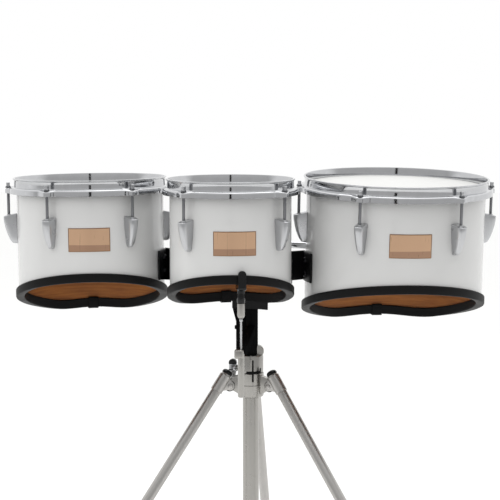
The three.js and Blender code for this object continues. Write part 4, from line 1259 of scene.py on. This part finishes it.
@dataclass
class HeightClamp:
    """The chromed clamp that grips the post, its base tube and its winged knob.

    Its sizes and depths are in millimetres.
    """

    places: Frame
    tube_radius: float = 14.3
    radius: float = 22.0
    tube_top: float = 323.4
    top: float = 319.0
    bottom: float = 351.0
    screw_bearing: float = math.radians(165.0)
    screw_depth: float = 345.24
    boss_reach: float = 26.0

    def build(self) -> None:
        """Builds the base tube, the clamp and the knob."""
        self.base_tube()
        self.clamp()
        self.packing_and_shade_strips()
        self.knob()

    def base_tube(self) -> None:
        """Turns the outer tube of the column."""
        bottom = 842.0
        length = bottom - self.tube_top
        wall = ring(self.tube_radius * MM, [
            (-1.3, 0.3), (-0.9, 0.0), (-0.4, 0.0), (0.0, 0.4), (0.0, length), (-1.3, length)])
        piece = turned("base_tube_wall", wall, 64, closed=True)
        dressed(moved(piece, self.places.at_column(0, 0, bottom)), SHADED_COLUMN_CHROME, "tripod", "base_tube")

    def clamp(self) -> None:
        """Casts the split collar with its ear and boss, and saws its slits."""
        at_column, height = self.places.at_column, self.bottom - self.top
        collar = turned("clamp_collar", capped(ring(self.radius * MM, [
            (-1.0, 0.0), (0.0, 1.0), (0.0, height - 3.0), (-0.9, height - 0.9), (-3.0, height)])), 64)
        moved(collar, at_column(0, 0, self.bottom))
        ear = bar("ear", at_column(12.5, -6.5, 313.5), at_column(12.5, 6.5, 313.5),
                  [(9.6, 0.0), (10.5, 0.07), (10.5, 0.93), (9.6, 1.0)], 48)
        boss = bar("boss", self.on_screw(self.tube_radius), self.on_screw(self.boss_reach),
                   [(5.6, 0.0), (5.6, 0.9), (5.0, 1.0)], 40)
        body = cut(
            fused(collar, ear, boss),
            plain_bar(at_column(0, 0, 360.0), at_column(0, 0, 295.0), POST_RADIUS * MM + GAP, 64),
            plain_bar(at_column(0, 0, 360.0), at_column(0, 0, self.tube_top) + UP * GAP,
                      self.tube_radius * MM + GAP, 64),
            plain_bar(self.on_screw(self.tube_radius), self.on_screw(34.0), 3.6 * MM, 32),
            block("slit", at_column(2.0, -30.0, 358.0), at_column(5.0, -POST_RADIUS / 2, 326.6)),
            block("notch", at_column(-0.8, -30.0, 325.4), at_column(0.8, -18.6, 314.0)))
        dressed(rounded(body, 0.5, 2, 50.0), SHADED_COLUMN_CHROME, "tripod", "height_clamp")

    def packing_and_shade_strips(self) -> None:
        """Lays the rubber packing behind the slits, and thin black strips round the castings: the strips are
        painted shade for their slits and joints.
        """
        packing = ring(self.tube_radius * MM, [(0.05, -60.0), (0.3, -60.0), (0.3, 0.0), (0.05, 0.0)])
        pieces = [moved(turned("packing", packing, 48, closed=True), self.places.at_column(0, 0, 326.0))]
        # Black strips laid 0.3 mm proud along the clamp's slits and the hub's joint: painted shade for the
        # gaps.
        for radius, high, low, start, end in (
                (self.radius, 346.6, 351.3, -21.0, 53.0), (self.radius, 341.8, 347.0, 45.5, 53.0),
                (23.0, 372.1, 372.8, -60.0, 60.0)):
            loop = ring(radius * MM, [(-2.0, -low), (0.3, -low), (0.3, -high), (-2.0, -high)])
            seam = turned("seam", loop, 24, True, math.radians(start), math.radians(end - start))
            pieces.append(moved(seam, self.places.at_column(0, 0, 0.0)))
        dressed(gathered("clamp_seams", pieces), RUBBER, "tripod")

    def on_screw(self, reach: float) -> Vector:
        """Gives a point on the clamp screw's axis."""
        bearing = self.screw_bearing
        return self.places.at_column(reach * math.cos(bearing), reach * math.sin(bearing), self.screw_depth)

    def knob(self) -> None:
        """Casts the two-winged grip on its screw, with a black cap inlay over its crown and a black band
        across the wing, which is a painted reflection of a dark surround in the chrome.
        """
        start = self.boss_reach + GAP / MM
        stem = plain_bar(self.on_screw(start - 9.0), self.on_screw(start + 4.0), 3.0 * MM, 24)
        hub = bar("hub", self.on_screw(start), self.on_screw(start + 5.0),
                  [(6.0, 0.0), (6.0, 0.7), (5.4, 1.0)], 40)
        half, radius, across, proud = 15.6, 6.4, 4.0, 0.45
        bend, grow, wide = half - radius, 1.0 + proud / radius, radius + proud
        place = (Matrix.Translation(self.on_screw(start + GAP / MM + radius))
                 @ about_z(self.screw_bearing - math.pi))

        def plate(name: str, loop: Profile, half_depth: float, width: float, segments: int) -> Piece:
            """Cuts a rounded plate across the screw to an outline in millimetres."""
            face = [Vector((x, -half_depth, z)) * MM for x, z in loop]
            return moved(rounded(slab(name, face, (0.0, 2 * half_depth * MM, 0.0)), width, segments), place)

        crown = [(x, bend + z) for x, z in arc(radius, 0.0, math.pi, 14)]
        tail = [(-radius, -3.0), (-4.6, 1.5 - half), (-3.0, -half), (3.0, -half), (4.6, 1.5 - half),
                (radius, -3.0)]
        wing = plate("wing", crown + tail, across, 1.8, 4)
        dressed(gathered("clamp_screw", [stem, hub, wing]), CAST_CHROME, "knob", "clamp_knob")
        cap = [(grow * x, bend + grow * (z - bend)) for x, z in crown] + [(-wide, 6.4), (wide, 6.4)]
        # The black band across the wing is a painted reflection, not a part of the knob.
        band = [(-wide, -4.6), (wide, -4.6), (wide, -1.6), (-wide, -1.6)]
        cap_and_reflection_band = [plate("inlay", loop, across + proud, 1.4, 3) for loop in (cap, band)]
        dressed(gathered("clamp_screw_inlays", cap_and_reflection_band), NYLON, "knob")


@dataclass
class Leg:
    """One folding leg: tube, folded bracket, pivot pin, top plug and rubber foot.

    Its sizes and depths are in millimetres, its angles in degrees.
    """

    name: str
    places: Frame
    azimuth: float
    splay: float = 35.5
    pin_circle: float = 42.0
    pin_depth: float = 372.5
    offset: float = 16.0
    radius: float = 9.0
    tongue: float = 8.0

    def at(self, out: float, along: float, across: float = 0.0) -> Vector:
        """Gives a point in the leg's own plane.

        Args:
            out: How far from the pin, square to the leg.
            along: How far down the leg.
            across: How far across it.

        Returns:
            The point, before the leg is turned round the column.
        """
        slope = math.radians(self.splay)
        x = self.pin_circle + out * math.cos(slope) + along * math.sin(slope)
        z = out * math.sin(slope) - along * math.cos(slope) - self.pin_depth
        return Vector((x * MM, across * MM, self.places.rim + z * MM))

    def set_up(self, piece: Piece) -> Piece:
        """Turns a piece from the leg's own plane to its place round the column."""
        column = Vector((self.places.column.x, self.places.column.y, 0.0))
        return moved(piece, Matrix.Translation(column) @ about_z(math.radians(self.azimuth)))

    def round_bar(self, name: str, high: float, low: float, profile: Profile, radius: float = 0.0) -> Piece:
        """Turns a piece on the leg's own axis."""
        return bar(f"{self.name}_{name}", self.at(self.offset, high), self.at(self.offset, low), profile, 48,
                   radius * MM)

    def build(self) -> None:
        """Builds the leg."""
        slope, top, body = math.radians(self.splay), -14.5, self.name
        floor = (self.places.rim / MM - self.pin_depth + self.offset * math.sin(slope)) / math.cos(slope)
        tube = self.round_bar("tube", top, floor - 20.0, [(-1.2, 0.0), (-0.5, 0.0), (0.0, 0.002), (0.0, 1.0)],
                              self.radius)
        dressed(self.set_up(tube), SATIN_CHROME, body, body)
        self.bracket()
        plug = bar(f"{body}_plug", self.at(self.offset, top + 4.0), self.at(self.offset, top - 8.0), [
            (-1.0, 0.0), (-1.0, 0.32), (0.5, 0.35), (0.5, 0.6), (-0.5, 0.78), (-2.2, 0.9), (-4.6, 0.98),
            (-7.0, 1.0)], 40, self.radius * MM)
        dressed(self.set_up(plug), NYLON, body)
        self.foot(floor)

    def bracket(self) -> None:
        """Folds the bracket round the tube, and rivets the pivot pin through it."""
        wrap, cheek, cheek_radius, high, low = 1.6, 2.4, 8.0, -12.0, 21.0
        pieces = [self.round_bar("sleeve", high, low, [(0.0, 0.0), (wrap, 0.02), (wrap, 0.98), (0.0, 1.0)],
                                 self.radius)]
        bend = arc(cheek_radius, -math.pi / 2, -math.pi * 1.5, 12)
        inside = self.tongue / 2 + GAP / MM
        for near in (-inside - cheek, inside):
            corners = [self.at(*corner, near) for corner in [(self.offset, high), *bend, (self.offset, low)]]
            pieces.append(rounded(slab("cheek", corners, (0.0, cheek * MM, 0.0)), 0.7))
        end = inside + cheek + 1.8
        pieces.append(bar("pin", self.at(0, 0, -end), self.at(0, 0, end), [
            (2.0, 0.0), (3.9, 0.02), (4.6, 0.05), (4.6, 0.085), (2.5, 0.09), (2.5, 0.91), (4.6, 0.915),
            (4.6, 0.95), (3.9, 0.98), (2.0, 1.0)]))
        dressed(self.set_up(gathered(f"{self.name}_bracket", pieces)), SATIN_CHROME, self.name)
        # Black nylon washers, 1.7 mm wider than the cheeks' rounded ends: their black rim is painted shade
        # for the gap between the cheeks and the tongue.
        near, far = self.tongue / 2 + 0.03, self.tongue / 2 + 0.31
        washers = [plain_bar(self.at(0, 0, side * near), self.at(0, 0, side * far),
                             (cheek_radius + 1.7) * MM, 40) for side in (-1, 1)]
        dressed(self.set_up(gathered(f"{self.name}_washers", washers)), NYLON, self.name)

    def foot(self, floor: float) -> None:
        """Moulds the rubber foot and cuts it flat on the floor.

        Args:
            floor: How far down the leg its axis meets the floor.
        """
        foot = self.round_bar("foot", floor - 40.0, floor + 13.0, [
            (9.6, 0.0), (11.0, 0.03), (11.1, 0.2), (10.5, 0.23), (11.2, 0.26), (11.7, 0.5), (12.7, 0.72),
            (13.0, 1.0)])
        edit(foot)
        bpy.ops.mesh.bisect(plane_co=(0, 0, 0), plane_no=(0, 0, 1), use_fill=True, clear_inner=True)
        leave()
        reshaped(rounded(foot, 0.5), lambda c: Vector((c.x, c.y, max(c.z, 0.0))))
        dressed(self.set_up(foot), RUBBER, self.name)


@dataclass
class Spider:
    """The cast hub under the clamp, with a tongue and stop for each leg.

    Its sizes and depths are in millimetres.
    """

    places: Frame
    legs: Sequence[Leg]
    radius: float = 23.0
    height: float = 43.5
    top: float = 351.35
    bore: float = 14.65

    def tongue(self, leg: Leg) -> Piece:
        """Shapes the tongue that a leg's bracket straddles.

        Args:
            leg: The leg.

        Returns:
            The tongue, in its place.
        """
        reach, half = leg.offset - leg.radius - 1.95, Vector((0.0, leg.tongue / 2 * MM, 0.0))
        bend = [leg.at(0.0, 0.0) + Vector((x, 0.0, z)) * MM
                for x, z in arc(reach, math.radians(leg.splay), -math.pi / 2, 10)]
        high, low = (self.places.rim - depth * MM for depth in (self.top + 1.0, self.top + self.height - 1.0))
        corners = [Vector((self.bore * MM, 0.0, high)), leg.at(reach, -14.0), *bend,
                   Vector((self.bore * MM, 0.0, low))]
        return leg.set_up(rounded(slab("tongue", [corner - half for corner in corners], 2 * half), 0.8))

    def build(self) -> None:
        """Casts the hub and its tongues, and bores them."""
        at_column = self.places.at_column
        hub = turned("spider_hub", capped(ring(self.radius * MM, [
            (-4.0, 0.0), (-1.0, 1.5), (0.0, 4.5), (0.0, self.height - 0.8), (-0.8, self.height)])), 64)
        moved(hub, at_column(0, 0, self.top + self.height))
        body = fused(hub, *map(self.tongue, self.legs))
        cutters = [plain_bar(at_column(0, 0, 400.0), at_column(0, 0, 345.0), self.bore * MM, 64),
                   block("slit", at_column(2.0, -30.0, self.top + 14.0),
                         at_column(5.0, -6.0, self.top - 6.0))]
        cutters += [leg.set_up(plain_bar(leg.at(0, 0, -8.0), leg.at(0, 0, 8.0), 3.1 * MM, 32))
                    for leg in self.legs]
        dressed(cut(body, *cutters), SHADED_COLUMN_CHROME, "tripod", "spider")


@dataclass
class Studio:
    """White studio: camera, floor, soft light from all round, and a black flag behind the camera."""

    camera_place: tuple[float, float, float] = (0.0016, -2.705, 1.061)
    camera_down: float = 6.44
    lens: float = 108.0

    def build(self) -> None:
        """Sets the studio up."""
        self.camera()
        self.floor()
        self.flag()
        self.world()
        self.light("key_softbox", (-1.5, -1.9, 2.2), (0.0, -0.1, 0.8), 1.6, 13.0, seen=False)
        self.light("top_softbox", (0.2, 0.2, 2.9), (0.0, 0.0, 0.0), 2.2, 24.0)
        bpy.context.scene.view_settings.view_transform = "Standard"

    def camera(self) -> None:
        """Places the camera where the photograph was taken from."""
        bpy.ops.object.camera_add(location=self.camera_place,
                                  rotation=(math.radians(90 - self.camera_down), 0.0, 0.0))
        camera = bpy.context.view_layer.objects.active
        camera.data.lens = self.lens
        camera.data.sensor_width = 36.0
        camera.data.clip_end = 60.0
        bpy.context.scene.camera = camera

    def floor(self) -> None:
        """Lays the pale floor."""
        size, back = 14.0, 4.6
        bpy.ops.mesh.primitive_plane_add(size=size)
        piece = moved(named("studio_floor"), Vector((0.0, back, 0.0)))
        piece.data.materials.append(finished(FLOOR))

    def flag(self) -> None:
        """Stands a narrow black flag behind the camera, which the chrome and the gloss mirror."""
        behind, half, low, high = -2.78, 0.075, 0.35, 2.3
        piece = block("studio_flag", (-half, behind - 0.01, low), (half, behind, high))
        piece.data.materials.append(finished(FLAG))
        piece.visible_camera = False

    def light(self, name: str, place: Sequence[float], target: Sequence[float], size: float,
              power: float, seen: bool = True) -> None:
        """Hangs a softbox that looks at a point.

        Args:
            name: The light's name.
            place: Where it hangs.
            target: What it looks at.
            size: Side of the square box.
            power: Its power in watts.
            seen: Whether the chrome mirrors it.
        """
        bpy.ops.object.light_add(type="AREA", location=place)
        lamp = bpy.context.view_layer.objects.active
        lamp.name = name
        lamp.data.size = size
        lamp.data.energy = power
        lamp.visible_glossy = seen
        lamp.rotation_euler = (Vector(target) - Vector(place)).to_track_quat("-Z", "Y").to_euler()

    def world(self) -> None:
        """Surrounds the studio with white light, dimmer towards the camera and low down."""
        world = bpy.data.worlds.new("white_studio")
        bpy.context.scene.world = world
        world.use_nodes = True
        tree = world.node_tree
        tree.nodes.clear()
        way = add_node(tree, "SeparateXYZ", {}, {"Vector": add_node(tree, "TexCoord").outputs["Generated"]})
        side = add_node(tree, "Math", {"operation": "ABSOLUTE"}, {0: way.outputs["X"]})
        front = ranged(tree, way.outputs["Y"], 0.58, 1.0, -0.25, 0.15)
        above = ranged(tree, way.outputs["Z"], 0.0, 0.38, 0.2, 0.9)
        strip = ranged(tree, side.outputs[0], 0.0, 0.1, 0.982, 0.99)
        soft = add_node(tree, "Math", {"operation": "ADD"}, {0: front, 1: above})
        total = add_node(tree, "Math", {"operation": "ADD"}, {0: soft.outputs[0], 1: strip})
        light = add_node(tree, "Background", {"Color": (1.0, 1.0, 1.0, 1.0)}, {"Strength": total.outputs[0]})
        add_node(tree, "OutputWorld", {}, {"Surface": light.outputs["Background"]})


def main() -> None:
    """Builds the drums, the stand and the studio in order."""
    logging.basicConfig(level=logging.INFO, format="%(name)s %(message)s")
    places = Frame()
    left = Drum("left", places, 254.0 * MM, 211.0 * MM, 41.2 * MM, 5.0, 6.8 * MM, 36.4, 184.0, 79.2 * MM)
    centre = Drum("centre", places, 203.2 * MM, 199.0 * MM, 34.8 * MM, 2.2, 13.0 * MM, 66.0, 181.0, 79.2 * MM)
    right = Drum("right", places, 304.8 * MM, 227.9 * MM, 52.4 * MM, 4.7, 11.0 * MM, 43.3, 184.9, 77.0 * MM)
    legs = [Leg("leg_front_left", places, -156.0), Leg("leg_front_right", places, -36.0),
            Leg("leg_rear", places, 84.0)]
    for group in (left, centre, right, Bracket("left_bracket", left, centre, 3.6, 28.0, 3.1, -18.9),
                  Bracket("right_bracket", right, centre, 7.1, -14.3, -4.3, 17.7),
                  ColumnMount(centre, right), Post(places), Steady(places, centre), HeightClamp(places),
                  *legs, Spider(places, legs), Studio()):
        group.build()


if __name__ == "__main__":
    main()
